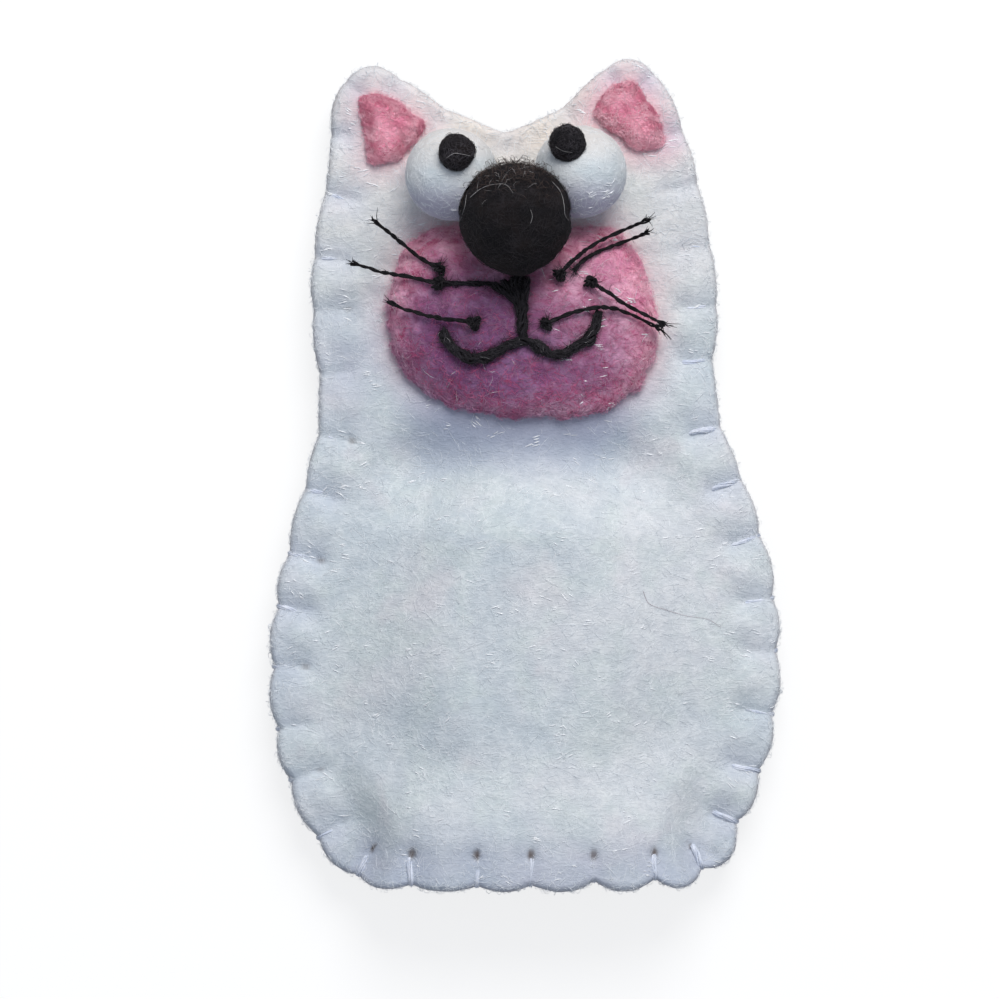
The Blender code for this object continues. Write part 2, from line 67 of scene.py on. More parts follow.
# Sewing
SEAM_THREAD = 0.0008
MOUTH_THREAD = 0.0012
WHISKER_THREAD = 0.0007
CHEEK_THREAD = 0.0005
KNOT = 0.0013
SEAT_GAP = 0.0003
SEWN_GAP = 0.0002
THREAD_GAP = 0.00025
FLOOR_GAP = 0.0001
STITCH_PITCH = 0.0066
STITCH_WANDER = 0.0004
LEG = 0.0037
EAR_LEG = 0.0020
EAR_BASE_Y = 0.0375
NEEDLE_HOLE = 0.0015
NOTCH = 0.0006
PINCH = 0.0005
PINCH_WIDTH = 0.0009
PINCH_FADE = 0.0010
HEM_PINCH = 0.0009
SEAM_END_Y = -0.0405
SUNK = 0.00078  # how much deeper than in the solids a stitch lies in the felt
SUNK_LEFT = 0.00044  # how much deeper still on the left of the puppet
SUNK_EARS = 0.00045
SUNK_EDGE = 0.00032  # how much deeper where a stitch comes over the edge
DRAWN_IN = 0.00014  # how much deeper at its needle hole
VALLEY = 0.00042  # the wide soft dip in the felt along a stitch, in place of the solids' pinch
VALLEY_WIDTH = 0.00185
SLOT = 0.00020  # the narrow bed right under the thread
SLOT_WIDTH = 0.00055
DIMPLE = 0.00034  # the dip at a needle hole
DIMPLE_WIDTH = 0.00048
PUFF_LEFT = 0.55  # the share of the solids' swelling between two stitches that shows in the felt
SCALLOP = 0.00072  # how far the felt's edge is pulled in at a stitch
NECK_FOLD = 0.0028  # how deep the felt sinks in between the head and the body
NECK_FROM_Y, NECK_Y, NECK_TO_Y = -0.0070, 0.0012, 0.0080
THREAD_DIP = 0.00045  # how deep the muzzle is pressed in by its black thread
THREAD_DIP_WIDTH = 0.00085
CROWN = 0.0014  # how far the middle of the muzzle stands above its solid
CROWN_RUN = 0.0085
MUZZLE_RIM = 0.32  # the share of its thickness that a pink piece keeps at its edge
MUZZLE_THIN = 0.0036
LINING_THIN = 0.0018

# Pocket
POCKET_HEIGHT = 0.0067
HEAD_HEIGHT = 0.0030
BODY_TOP_Y = -0.002
HEAD_BASE_Y = 0.014
POCKET_RUN = 0.0170
MOUTH_RUN = 0.0120
MOUTH_FROM_Y, MOUTH_TO_Y = -0.040, -0.026
PUFF = 0.0007
PUFF_FROM, PUFF_TO = 0.0008, 0.0066
PUFF_FADE_Y = 0.020, 0.027
SETTLE = 0.0030
FRONT_SETTLE = 0.0110

# Face
EYE_RADIUS = 0.0051
EYES = {"left": (-0.0081, 0.0332), "right": (0.0061, 0.0335)}
EYE_PRESS = 0.0006
PUPIL_RADIUS = 0.00205
PUPIL_OUT = 0.0006
PUPILS = {"left": (0.0006, 0.0024), "right": (-0.0015, 0.0031)}
NOSE_RADIUS = 0.0062
NOSE = (-0.0011, 0.0283)
NOSE_PRESS = 0.0008

# Outlines, in millimetres, anticlockwise
OUTLINE = [
    (-2.2, 38.2), (-6.2, 39.5), (-10.2, 41.6), (-13.4, 43.9), (-16.4, 45.2), (-19.0, 44.5),
    (-20.8, 42.1), (-21.5, 38.3), (-21.6, 34.3), (-22.6, 29.4), (-23.5, 22.8), (-23.4, 16.2),
    (-22.8, 10.7), (-22.8, 6.3), (-23.8, 1.3), (-25.1, -3.1), (-26.5, -8.6), (-27.6, -13.6),
    (-28.2, -20.0), (-27.9, -26.7), (-26.6, -32.8), (-24.4, -38.0), (-21.7, -42.0), (-17.6, -44.9),
    (-11.6, -45.5), (0.0, -45.6), (12.0, -45.5), (18.4, -44.9), (22.2, -42.5), (24.3, -38.2),
    (26.4, -32.2), (27.8, -26.2), (28.2, -19.0), (27.5, -11.3), (26.1, -5.8), (24.2, -0.3),
    (22.3, 4.1), (21.2, 8.5), (20.9, 12.9), (21.3, 18.4), (20.8, 23.9), (19.6, 30.5),
    (17.9, 37.1), (15.9, 42.2), (13.6, 45.2), (11.2, 46.0), (8.9, 45.2), (5.7, 42.2),
    (2.2, 39.7),
]
MUZZLE = [
    (-1.1, 26.4), (-6.0, 27.3), (-9.6, 27.4), (-12.2, 26.1), (-14.2, 22.4), (-15.2, 17.0),
    (-14.0, 12.7), (-10.4, 9.0), (-5.0, 7.1), (1.7, 6.6), (8.2, 7.1), (12.6, 10.1),
    (14.4, 15.1), (13.7, 20.2), (12.4, 24.2), (9.8, 27.1), (5.2, 27.3),
]
LININGS = {
    "left": [
        (-14.0, 41.1), (-16.1, 42.1), (-18.1, 41.4), (-17.5, 37.6), (-16.9, 34.5),
        (-14.2, 34.7), (-12.6, 36.6), (-11.0, 38.7),
    ],
    "right": [
        (12.3, 43.1), (10.5, 43.4), (8.7, 42.2), (7.6, 39.8), (9.2, 38.4), (12.6, 36.1),
        (15.2, 36.5), (15.2, 38.2), (13.6, 41.2),
    ],
}

# Black thread, as points in millimetres: across, along, and above the muzzle
PHILTRUM = [(-0.6, 22.8, 0), (-0.5, 20.6, 0), (-0.3, 18.4, 0), (-0.2, 16.2, 0)]
PHILTRUM_FOOT = [(-0.3, 16.4, 0), (-0.2, 15.2, 0.1)]  # its end where it crosses the smile
SMILE = [
    (-9.0, 15.9, 0), (-8.5, 14.9, 0), (-7.5, 13.8, 0), (-6.2, 13.1, 0), (-4.9, 13.0, 0),
    (-3.5, 13.5, 0), (-2.0, 14.3, 0), (-0.2, 14.9, 0), (1.2, 14.5, 0), (2.5, 13.6, 0),
    (3.8, 13.4, 0), (5.4, 14.2, 0), (7.0, 15.2, 0), (7.8, 16.8, 0), (8.1, 18.0, 0),
]
CHEEK_START = (-9.0, 21.3, 0.2)  # its end at the knot, which doesn't press into the felt
CHEEK = [(-7.6, 21.2, 0), (-5.6, 21.25, 0), (-3.8, 21.1, 0), (-1.9, 20.4, 0)]
LIP_FAN = [
    [(-3.5, 21.1, 0.1), (-2.4, 20.3, 0.2), (-1.3, 19.5, 0.1), (-0.6, 18.5, 0)],
    [(-2.4, 21.5, 0.1), (-1.7, 20.6, 0.3), (-1.0, 19.7, 0.2), (-0.4, 18.6, 0)],
    [(-1.5, 21.8, 0.1), (-1.1, 20.9, 0.3), (-0.6, 20.0, 0.3), (-0.3, 18.8, 0)],
    [(0.2, 21.8, 0.1), (0.2, 21.0, 0.2), (0.1, 20.2, 0.1), (-0.1, 19.0, 0)],
]
WHISKERS = {
    "left_upper_whisker": [
        (-9.4, 22.9, 0), (-10.4, 23.4, 0.1), (-12.0, 24.4, 0.2), (-14.4, 26.4, 0.3),
        (-16.7, 28.2, 0.6),
    ],
    "left_middle_whisker": [
        (-9.5, 21.2, 0), (-10.6, 21.5, 0.1), (-12.8, 22.0, 0.2), (-15.3, 22.4, 0.3),
        (-19.1, 23.5, 0.6),
    ],
    "left_lower_whisker": [
        (-5.6, 16.9, 0), (-7.0, 17.1, 0.1), (-10.2, 17.6, 0.2), (-12.8, 18.3, 0.3),
        (-15.0, 19.2, 0.5),
    ],
    "right_upper_whisker_1": [
        (3.8, 22.2, 0), (4.7, 23.2, 0.5), (6.3, 24.6, 0.9), (7.9, 25.7, 1.0), (10.6, 27.0, 1.1),
        (13.6, 28.3, 1.2),
    ],
    "right_upper_whisker_2": [
        (5.3, 22.6, 0), (6.1, 23.5, 0.1), (7.4, 24.4, 0.1), (9.2, 25.2, 0.1), (11.4, 26.0, 0.1),
        (13.6, 26.9, 0.2),
    ],
    "right_middle_whisker": [
        (7.2, 21.4, 0), (8.2, 20.8, 0.4), (9.2, 20.2, 0.8), (10.6, 19.2, 1.1), (12.4, 18.2, 1.2),
        (15.4, 16.7, 1.2),
    ],
    "right_lower_whisker": [
        (2.3, 16.8, 0), (3.2, 17.2, 0.1), (4.6, 17.8, 0.2), (6.7, 18.4, 0.2), (8.8, 18.6, 0.2),
        (11.0, 18.1, 0.2), (15.0, 16.2, 0.2),
    ],
}

# Stray hairs, in millimetres, as they lie on the puppet when it is looked at from above
NOSE_HAIRS = [
    [(-7.6, 27.0), (-7.0, 28.4), (-6.6, 29.6), (-6.4, 30.9)],
    [(-6.0, 30.6), (-4.9, 31.5), (-3.4, 32.0), (-2.0, 31.9), (-1.3, 31.0)],
    [(3.0, 32.3), (3.9, 31.2), (4.3, 29.6), (4.4, 28.6), (5.2, 27.6), (5.4, 26.6)],
    [(0.6, 29.2), (0.8, 28.5), (0.6, 27.7)],
]
PUPIL_HAIRS = [
    [(-8.6, 34.9), (-7.8, 35.4), (-6.8, 35.3), (-5.9, 35.1)],
    [(3.3, 36.2), (4.1, 35.7), (5.2, 35.5)],
]
BROWN_HAIR = [
    (13.0, -12.6), (13.6, -13.9), (15.4, -14.6), (17.8, -15.3), (20.2, -15.7), (21.6, -16.6),
]

# Threads and fibres: dark and light tone, roughness, shine, size of the streaks, shaded tone
THREADS = {
    "white thread": ((0.60, 0.65, 0.76), (0.75, 0.78, 0.86), 0.45, 0.5, 0.0012),
    "black thread": ((0.0030, 0.0028, 0.0040), (0.011, 0.010, 0.012), 0.7, 0.12, 0.0006),
    "mouth thread": ((0.0045, 0.0042, 0.0055), (0.020, 0.018, 0.022), 0.75, 0.12, 0.0005),
    "loose white fibre": ((0.80, 0.84, 0.87), (0.92, 0.93, 0.94), 0.35, 0.5, 0.004),
    "glinting fibre": ((0.90, 0.91, 0.93), (0.95, 0.96, 0.97), 0.22, 1.0, 0.004),
    "loose pink fibre": (
        (0.74, 0.29, 0.42), (0.96, 0.62, 0.71), 0.45, 0.3, 0.0022, (0.36, 0.31, 0.48),
    ),
    "crimson fibre": ((0.40, 0.05, 0.16), (0.66, 0.15, 0.30), 0.45, 0.3, 0.002),
    "loose ear fibre": ((0.68, 0.22, 0.32), (0.95, 0.58, 0.66), 0.40, 0.4, 0.002),
    "loose black fibre": ((0.004, 0.0037, 0.0052), (0.020, 0.0175, 0.021), 0.6, 0.2, 0.002),
    "dark grey fibre": ((0.016, 0.014, 0.017), (0.062, 0.056, 0.064), 0.6, 0.2, 0.002),
    "brown tuft": ((0.026, 0.018, 0.016), (0.095, 0.066, 0.058), 0.6, 0.2, 0.002),
    "pale hair": ((0.24, 0.23, 0.23), (0.48, 0.46, 0.46), 0.3, 0.5, 0.002),
    "brown hair": ((0.36, 0.28, 0.30), (0.54, 0.46, 0.48), 0.4, 0.3, 0.002),
}

# Glossy fibres: how thick they are, and for each eye where they shine, how far round, how many
GLINT = 0.00014
EYE_GLINT = 0.00011
EYE_GLINTS = {"left": (-0.0082, 0.0306, 0.0024, 5), "right": (0.0086, 0.0312, 0.0028, 13)}

# The room, in metres and watts
FLOOR_SIZE = 3.0
FLOOR_TONE = (0.24, 0.24, 0.24)
FLOOR_GLOW = 0.80
ROOM_TONE = (0.84, 0.93, 1.10)
ROOM_LIGHT = 0.40
WINDOW_SIZE = 0.50
WINDOW_LIGHT = 4.85
WINDOW_TONE = (1.0, 0.985, 0.965)
WINDOW_WAY = (0.15, 0.69, 0.71)
WINDOW_AWAY = 0.75
SENSOR = 36.0  # in millimetres, as the lens is
CAMERA_HEIGHT = 2.5
FELT_LEVEL = 0.006
FRAME_WIDTH = 0.1099  # how much of the felt's level the camera sees
FRAME_MIDDLE = (-0.0028, -0.0025)

# How fine the pieces are
PANEL_VOXEL = 0.00036
BACK_VOXEL = 0.00052
MUZZLE_VOXEL = 0.00021
LINING_VOXEL = 0.00016
BALL_DIVISIONS = 6
BEAD_DIVISIONS = 5
FIBRE_STEPS = 4
KNOT_STEPS = 36


# Numbers and outlines


def ease(value, low, high):
    """0 below low, 1 above high, and a smooth step between them."""
    share = np.clip((value - low) / (high - low), 0.0, 1.0)
    return share * share * (3 - 2 * share)


def curve_between(a, b, c, d, count, least=0.0):
    """Points from b towards c on the smooth curve that runs through all four."""
    t0 = 0.0
    t1 = t0 + math.sqrt(np.linalg.norm(b - a) + least)
    t2 = t1 + math.sqrt(np.linalg.norm(c - b) + least)
    t3 = t2 + math.sqrt(np.linalg.norm(d - c) + least)
    made = []
    for step in range(count):
        t = t1 + (t2 - t1) * step / count
        ab = a + (b - a) * (t - t0) / (t1 - t0)
        bc = b + (c - b) * (t - t1) / (t2 - t1)
        cd = c + (d - c) * (t - t2) / (t3 - t2)
        abc = ab + (bc - ab) * (t - t0) / (t2 - t0)
        bcd = bc + (cd - bc) * (t - t1) / (t3 - t1)
        made.append(abc + (bcd - abc) * (t - t1) / (t2 - t1))
    return made


def smooth_loop(points, steps):
    """Points along a smooth closed curve through the given ones."""
    points = [np.array(p, float) for p in points]
    count = len(points)
    made = []
    for i in range(count):
        around = (points[(i + k) % count] for k in (-1, 0, 1, 2))
        made += curve_between(*around, steps)
    return np.array(made)


class Edge:
    """The smooth closed outline of a felt piece, measured along its length."""

    def __init__(self, outline, steps=12):
        self.points = smooth_loop(outline, steps) * MM
        ahead = np.roll(self.points, -1, axis=0)
        self.along = ahead - self.points
        self.spans = np.linalg.norm(self.along, axis=1)
        self.start = np.concatenate([[0.0], np.cumsum(self.spans)])
        self.length = self.start[-1]
        self.trees = {}

    def tangents(self, span):
        """The smoothed direction of the edge at each span."""
        total = sum(self.along[(span + k) % len(self.spans)] for k in range(-2, 3))
        return total / np.linalg.norm(total, axis=-1, keepdims=True)

    def place(self, travel, inset):
        """The point at a distance along the edge, moved in from it."""
        travel = travel % self.length
        span = int(np.searchsorted(self.start, travel, side="right")) - 1
        span = min(span, len(self.spans) - 1)
        here = self.points[span] + self.along[span] * (travel - self.start[span]) / self.spans[span]
        tangent = self.tangents(span)
        return here + inset * np.array([-tangent[1], tangent[0]])

    def tree_of(self, part):
        """A search tree of the corners of the spans that are asked for."""
        key = 0 if part is None else len(part)
        if key not in self.trees:
            count = len(self.spans)
            allowed = np.ones(count, bool)
            if part is not None:
                allowed[:] = False
                allowed[part] = True
            corners = np.flatnonzero(allowed | np.roll(allowed, 1))
            tree = KDTree(len(corners))
            for corner in corners:
                tree.insert((*self.points[corner], 0.0), int(corner))
            tree.balance()
            self.trees[key] = tree, allowed
        return self.trees[key]

    def nearest(self, spots, part=None):
        """How far along the edge, and how far from it, each spot lies."""
        tree, allowed = self.tree_of(part)
        flat = np.asarray(spots, float)[:, :2]
        corner = np.array([tree.find((x, y, 0.0))[1] for x, y in flat])
        travel = np.zeros(len(flat))
        depth = np.full(len(flat), np.inf)
        for step in (-1, 0):
            number = (corner + step) % len(self.spans)
            along, spans = self.along[number], self.spans[number]
            away = flat - self.points[number]
            share = np.clip((away * along).sum(1) / (spans * spans), 0.0, 1.0)
            gap = np.linalg.norm(away - share[:, None] * along, axis=1)
            closer = allowed[number] & (gap < depth)
            travel[closer] = (self.start[number] + share * spans)[closer]
            depth[closer] = gap[closer]
        return travel, depth

    def inward(self, travel):
        """The direction into the piece at each place on the edge."""
        span = np.searchsorted(self.start, travel % self.length, side="right") - 1
        tangent = self.tangents(np.minimum(span, len(self.spans) - 1))
        return np.column_stack([-tangent[:, 1], tangent[:, 0]])

    def area(self):
        """What the piece covers when it lies flat."""
        ahead = np.roll(self.points, -1, axis=0)
        return abs((self.points[:, 0] * ahead[:, 1] - self.points[:, 1] * ahead[:, 0]).sum()) / 2

    def size(self):
        """Its width and its length when it lies flat."""
        return tuple(float(v) for v in self.points.max(0) - self.points.min(0))


class Puppet:
    """The shape of the two sewn panels, as heights over the surface that they lie on."""

    def __init__(self):
        self.edge = Edge(OUTLINE)
        count = round(self.edge.length / STITCH_PITCH)
        self.pitch = self.edge.length / count
        self.stitches = np.array(
            [i * self.pitch + STITCH_WANDER * math.sin(2.4 * i) for i in range(count)]
        )
        spots = np.array([self.edge.place(s, 0.0) for s in self.stitches])
        self.legs = np.where(spots[:, 1] > EAR_BASE_Y, EAR_LEG, LEG)
        self.hem = [i for i in range(count) if spots[i, 1] < SEAM_END_Y]
        self.back_hem = self.hem[1:-1]
        self.sewn = [i % count for i in range(self.hem[-1] + 1, self.hem[0] + count)]
        ends = self.stitches[self.sewn[0]], self.stitches[self.sewn[-1]]
        start = self.edge.start[:-1]
        self.sewn_part = np.flatnonzero((start >= ends[0]) | (start <= ends[1]))
        self.rim_lift = SEAM_THREAD + THREAD_GAP + FLOOR_GAP
        self.border = LEG + NEEDLE_HOLE / 2

    def order(self, travel):
        """The number of the stitch at a place on the edge, as a fraction between two stitches."""
        known = np.concatenate([self.stitches, [self.edge.length]])
        return np.interp(travel, known, np.arange(len(known)))

    def phase(self, travel):
        """The share of the way from one stitch to the next."""
        return self.order(travel) % 1.0

    def nearest_stitch(self, travel):
        """How far along the edge the nearest stitch lies, and its number."""
        share = self.phase(travel)
        off = np.minimum(share, 1 - share) * self.pitch
        return off, np.rint(self.order(travel)).astype(int) % len(self.stitches)

    def pressed(self, off, nearest, depth):
        """How much a stitch presses the felt down, from 0 to 1."""
        reach = self.legs[nearest] + NEEDLE_HOLE / 2
        return np.exp(-((off / PINCH_WIDTH) ** 2)) * (1 - ease(depth, reach, reach + PINCH_FADE))

    def swelling(self, spots, sewn_travel, inside):
        """How much the felt swells between two stitches, from 0 to 1."""
        swell = np.clip((inside - PUFF_FROM) / (PUFF_TO - PUFF_FROM), 0.0, 1.0)
        puff = np.sin(np.pi * self.phase(sewn_travel)) ** 2 * np.sin(np.pi * swell) ** 2
        return puff * (1 - ease(spots[:, 1], *PUFF_FADE_Y))

    def rises(self, spots, inside):
        """How far the vault has risen from the seam, and how much more it has near the mouth."""
        rise = ease(inside, self.border, self.border + POCKET_RUN)
        fast_rise = 1 - (1 - np.clip((inside - self.border) / MOUTH_RUN, 0.0, 1.0)) ** 2
        mouth = 1 - ease(spots[:, 1], MOUTH_FROM_Y, MOUTH_TO_Y)
        return rise, np.maximum(fast_rise - rise, 0.0) * mouth

    def heights(self, spots):
        """Underside and top of the back panel, then of the front panel, at each spot."""
        spots = np.atleast_2d(np.array(spots, float))[:, :2]
        travel, depth = self.edge.nearest(spots)
        sewn_travel, inside = self.edge.nearest(spots, self.sewn_part)
        off, nearest = self.nearest_stitch(travel)
        lift = self.rim_lift * (1 - ease(depth, self.border, self.border + SETTLE))
        pressed = self.pressed(off, nearest, depth)
        back_top = lift + FELT - HEM_PINCH * pressed * np.isin(nearest, self.back_hem)
        front_lift = self.rim_lift * (1 - ease(depth, self.border, self.border + FRONT_SETTLE))
        head = ease(spots[:, 1], BODY_TOP_Y, HEAD_BASE_Y)
        tall = POCKET_HEIGHT + (HEAD_HEIGHT - POCKET_HEIGHT) * head
        vault = tall * sum(self.rises(spots, inside))
        puff = PUFF * self.swelling(spots, sewn_travel, inside)
        front_under = front_lift + FELT + SEWN_GAP + vault + puff
        return lift, back_top, front_under, front_under + FELT - PINCH * pressed

    def needlework(self, spots):
        """What the stitches do to the upper face of the felt at each spot, from 0 to 1 each.

        Pressed and puff are what the solids have there. Valley, slot and hole are the felt's own.
        """
        travel, depth = self.edge.nearest(spots)
        sewn_travel, inside = self.edge.nearest(spots, self.sewn_part)
        off, nearest = self.nearest_stitch(travel)
        legs = self.legs[nearest]
        strength = 0.75 + 0.35 * np.sin(nearest * 5.3)
        valley = strength * np.exp(-((off / VALLEY_WIDTH) ** 2))
        valley *= 1 - ease(depth, legs - 0.0004, legs + 0.0022)
        slot = np.exp(-((off / SLOT_WIDTH) ** 2)) * (1 - ease(depth, legs, legs + 0.0005))
        marked = 0.50 + 0.45 * np.sin(nearest * 2.9 + 1.0)
        faint = (spots[:, 0] > 0) | (spots[:, 1] > EAR_BASE_Y - 0.010)
        marked = np.where(faint, 0.4 * marked, 0.7 * marked) + 0.8 * np.isin(nearest, self.hem)
        away = (off / DIMPLE_WIDTH) ** 2 + ((depth - legs - 0.0004) / (1.5 * DIMPLE_WIDTH)) ** 2
        return {
            "pressed": self.pressed(off, nearest, depth),
            "puff": self.swelling(spots, sewn_travel, inside),
            "valley": valley,
            "slot": slot,
            "hole": np.clip(marked, 0.15, 1.0) * np.exp(-away),
        }

    def scallop(self, spots, travel):
        """How far the felt's edge is pulled in: less on the head, most at the lower right."""
        strength = 1 - 0.6 * ease(spots[:, 1], -0.020, 0.012)
        strength += 0.85 * ease(spots[:, 0], -0.002, 0.010) * ease(-spots[:, 1], 0.034, 0.041)
        return SCALLOP * strength * (1 - np.abs(np.sin(np.pi * self.phase(travel))) ** 0.8)

    def fold(self, spots):
        """How deep the front panel folds in under the muzzle, between the head and the body."""
        _, inside = self.edge.nearest(spots, self.sewn_part)
        along = ease(spots[:, 1], NECK_FROM_Y, NECK_Y) * (1 - ease(spots[:, 1], NECK_Y, NECK_TO_Y))
        return NECK_FOLD * along * ease(inside, 0.0045, 0.0125)

    def mouth_edge(self, spots):
        """How much lower the felt starts to rise at the mouth than the solid, whose rim is sharp."""
        _, inside = self.edge.nearest(spots, self.sewn_part)
        start = 1 - ease(inside, self.border - 0.0006, self.border + 0.0050)
        return POCKET_HEIGHT * self.rises(spots, inside)[1] * start

    def front_top(self, spots):
        return self.heights(spots)[3]

    def muzzle_under(self, spots):
        return self.front_top(spots) - self.fold(np.asarray(spots, float)) + SEAT_GAP

    def muzzle_top(self, spots):
        return self.muzzle_under(spots) + MUZZLE_FELT


# Meshes


def new_piece(name, mesh, finish):
    """A piece of the puppet, smooth, with its material."""
    mesh.shade_smooth()
    mesh.materials.clear()
    mesh.materials.append(finish)
    piece = bpy.data.objects.new(name, mesh)
    bpy.context.scene.collection.objects.link(piece)
    return piece


def settle(piece):
    """Applies the modifiers, so that the mesh is what shows."""
    bpy.context.view_layer.update()
    graph = bpy.context.evaluated_depsgraph_get()
    mesh = bpy.data.meshes.new_from_object(piece.evaluated_get(graph))
    mesh.name = piece.name
    piece.modifiers.clear()
    piece.data = mesh
    return mesh


def points_of(mesh):
    spots = np.empty(len(mesh.vertices) * 3)
    mesh.vertices.foreach_get("co", spots)
    return spots.reshape(-1, 3)


def move_points(mesh, spots):
    mesh.vertices.foreach_set("co", np.asarray(spots, float).ravel())
    mesh.update()


def paint(mesh, name, values):
    """Stores a number a point, which the material reads."""
    layer = mesh.attributes.new(name, "FLOAT", "POINT")
    layer.data.foreach_set("value", np.asarray(values, float))


def lumps(spots, size, seed):
    """Smooth noise from about -1 to 1, with lumps of the given size."""
    shift = Vector((seed * 7.31, seed * 3.17, seed * 5.53))
    return np.array([noise.noise(Vector(spot) / size + shift) for spot in spots])


def felt_plate(name, edge, thickness, voxel, finish):
    """Felt cut to the outline and laid flat, in small even faces."""
    shape = bmesh.new()
    rim = [shape.verts.new((x, y, 0.0)) for x, y in edge.points]
    bmesh.ops.contextual_create(shape, geom=rim)
    raised = bmesh.ops.extrude_face_region(shape, geom=shape.faces[:])
    upper = [item for item in raised["geom"] if isinstance(item, bmesh.types.BMVert)]
    bmesh.ops.translate(shape, verts=upper, vec=(0, 0, thickness))
    bmesh.ops.recalc_face_normals(shape, faces=shape.faces)
    mesh = bpy.data.meshes.new(name)
    shape.to_mesh(mesh)
    shape.free()
    piece = new_piece(name, mesh, finish)
    even = piece.modifiers.new("even faces", "REMESH")
    even.mode = "VOXEL"
    even.voxel_size = voxel
    even.adaptivity = 0.0
    mesh = settle(piece)
    mesh.shade_smooth()
    return piece


def round_edge(edge, spots, thickness, swell, run):
    """Rounds the cut edge of a flat plate.

    Gives the moved spots, how high each lies in the felt, how far along the edge, and how far in.
    """
    travel, depth = edge.nearest(spots[:, :2])
    share = np.clip(spots[:, 2] / thickness, 0.0, 1.0)
    angle = (share - 0.5) * math.pi
    room = np.clip(1 - depth / run, 0.0, 1.0) ** 2
    shift = swell * (1 - np.cos(angle)) * room
    moved = spots.copy()
    moved[:, :2] += edge.inward(travel) * shift[:, None]
    return moved, (1 + np.sin(angle)) / 2, travel, depth + shift


def ball(name, middle, radius, divisions, finish):
    """A plain ball in small even faces."""
    shape = bmesh.new()
    bmesh.ops.create_icosphere(shape, subdivisions=divisions, radius=radius)
    bmesh.ops.translate(shape, verts=shape.verts, vec=middle)
    mesh = bpy.data.meshes.new(name)
    shape.to_mesh(mesh)
    shape.free()
    return new_piece(name, mesh, finish)


# Threads and fibres


def spline_piece(name, lines, width, finish, sides=0):
    """One mesh of round strands along the lines. A line is (points, widths), widths as shares."""
    curve = bpy.data.curves.new(name, "CURVE")
    curve.dimensions = "3D"
    curve.bevel_depth = width / 2
    curve.bevel_resolution = sides
    curve.use_fill_caps = True
    for points, widths in lines:
        spline = curve.splines.new("POLY")
        spline.points.add(len(points) - 1)
        flat = np.ones((len(points), 4))
        flat[:, :3] = points
        spline.points.foreach_set("co", flat.ravel())
        spline.points.foreach_set("radius", np.asarray(widths, float))
    source = bpy.data.objects.new(name, curve)
    bpy.context.scene.collection.objects.link(source)
    bpy.context.view_layer.update()
    graph = bpy.context.evaluated_depsgraph_get()
    mesh = bpy.data.meshes.new_from_object(source.evaluated_get(graph))
    bpy.data.objects.remove(source)
    bpy.data.curves.remove(curve)
    mesh.name = name
    return new_piece(name, mesh, finish)


def even_line(points, step):
    """The same path as a smooth curve with points a step apart."""
    points = np.array(points, float)
    padded = np.vstack([2 * points[0] - points[1], points, 2 * points[-1] - points[-2]])
    made = []
    for a, b, c, d in zip(padded, padded[1:], padded[2:], padded[3:]):
        count = max(2, round(np.linalg.norm(c - b) / step))
        made += curve_between(a, b, c, d, count, 1e-9)
    made.append(points[-1])
    return np.array(made)


def twisted(line, plies, width, turn, seed=0, wander=0.0, taper=1.0, spread=0.0, slack=0.0):
    """The strands of a thread along the line.

    Turn is the length of one full twist, wander how far each strand strays, spread how much the
    strands part at the far end, and slack how much the thread swells and shrinks on its way.
    """
    chance = random.Random(seed)
    ahead = np.gradient(line, axis=0)
    ahead /= np.linalg.norm(ahead, axis=1)[:, None] + 1e-12
    side = np.cross(ahead[0], (0.3, 0.2, 1.0))
    side /= np.linalg.norm(side)
    sides = []
    for direction in ahead:
        side = side - direction * (side @ direction)
        side /= np.linalg.norm(side)
        sides.append(side)
    sides = np.array(sides)
    ups = np.cross(ahead, sides)
    runs = np.concatenate([[0.0], np.cumsum(np.linalg.norm(np.diff(line, axis=0), axis=1))])
    share = runs / runs[-1]
    full = 1 - (1 - taper) * share
    uneven = 0.7 * np.sin(runs / turn * 2.3 + seed) + 0.4 * np.sin(runs / turn * 5.1 + 2 * seed)
    strands = []
    for ply in range(plies):
        angle = runs / turn * 2 * math.pi + uneven + ply * 2 * math.pi / plies + chance.uniform(-0.3, 0.3)
        swell = 1 + slack * (np.sin(runs / 0.0011 + seed) + 0.7 * np.sin(runs / 0.00047 + 2 * seed))
        out = (width * 0.27 * full * swell * (1 + spread * ease(share, 0.88, 1.0)))[:, None]
        spots = line + out * (np.cos(angle)[:, None] * sides + np.sin(angle)[:, None] * ups)
        if wander:
            shift = chance.uniform(0, 50)
            for axis in range(3):
                drift = [noise.noise(Vector((run / 0.0011, shift, axis * 9.0))) for run in runs]
                spots[:, axis] += wander * np.array(drift)
        strands.append((spots, full * (1 + 0.08 * np.sin(angle * 1.7 + ply))))
    return strands


def surface_of(piece):
    """A piece's faces, for finding the spot on them that is nearest or straight below."""
    shape = bmesh.new()
    shape.from_mesh(piece.data)
    tree = BVHTree.FromBMesh(shape)
    shape.free()
    return tree


def drop(surfaces, x, y, above):
    """The highest point under (x, y) on any of the surfaces, and a little above it."""
    tops = [tree.ray_cast(Vector((x, y, 0.05)), Vector((0, 0, -1)))[0] for tree in surfaces]
    highest = max((top.z for top in tops if top is not None), default=0.0)
    return (x, y, highest + above)


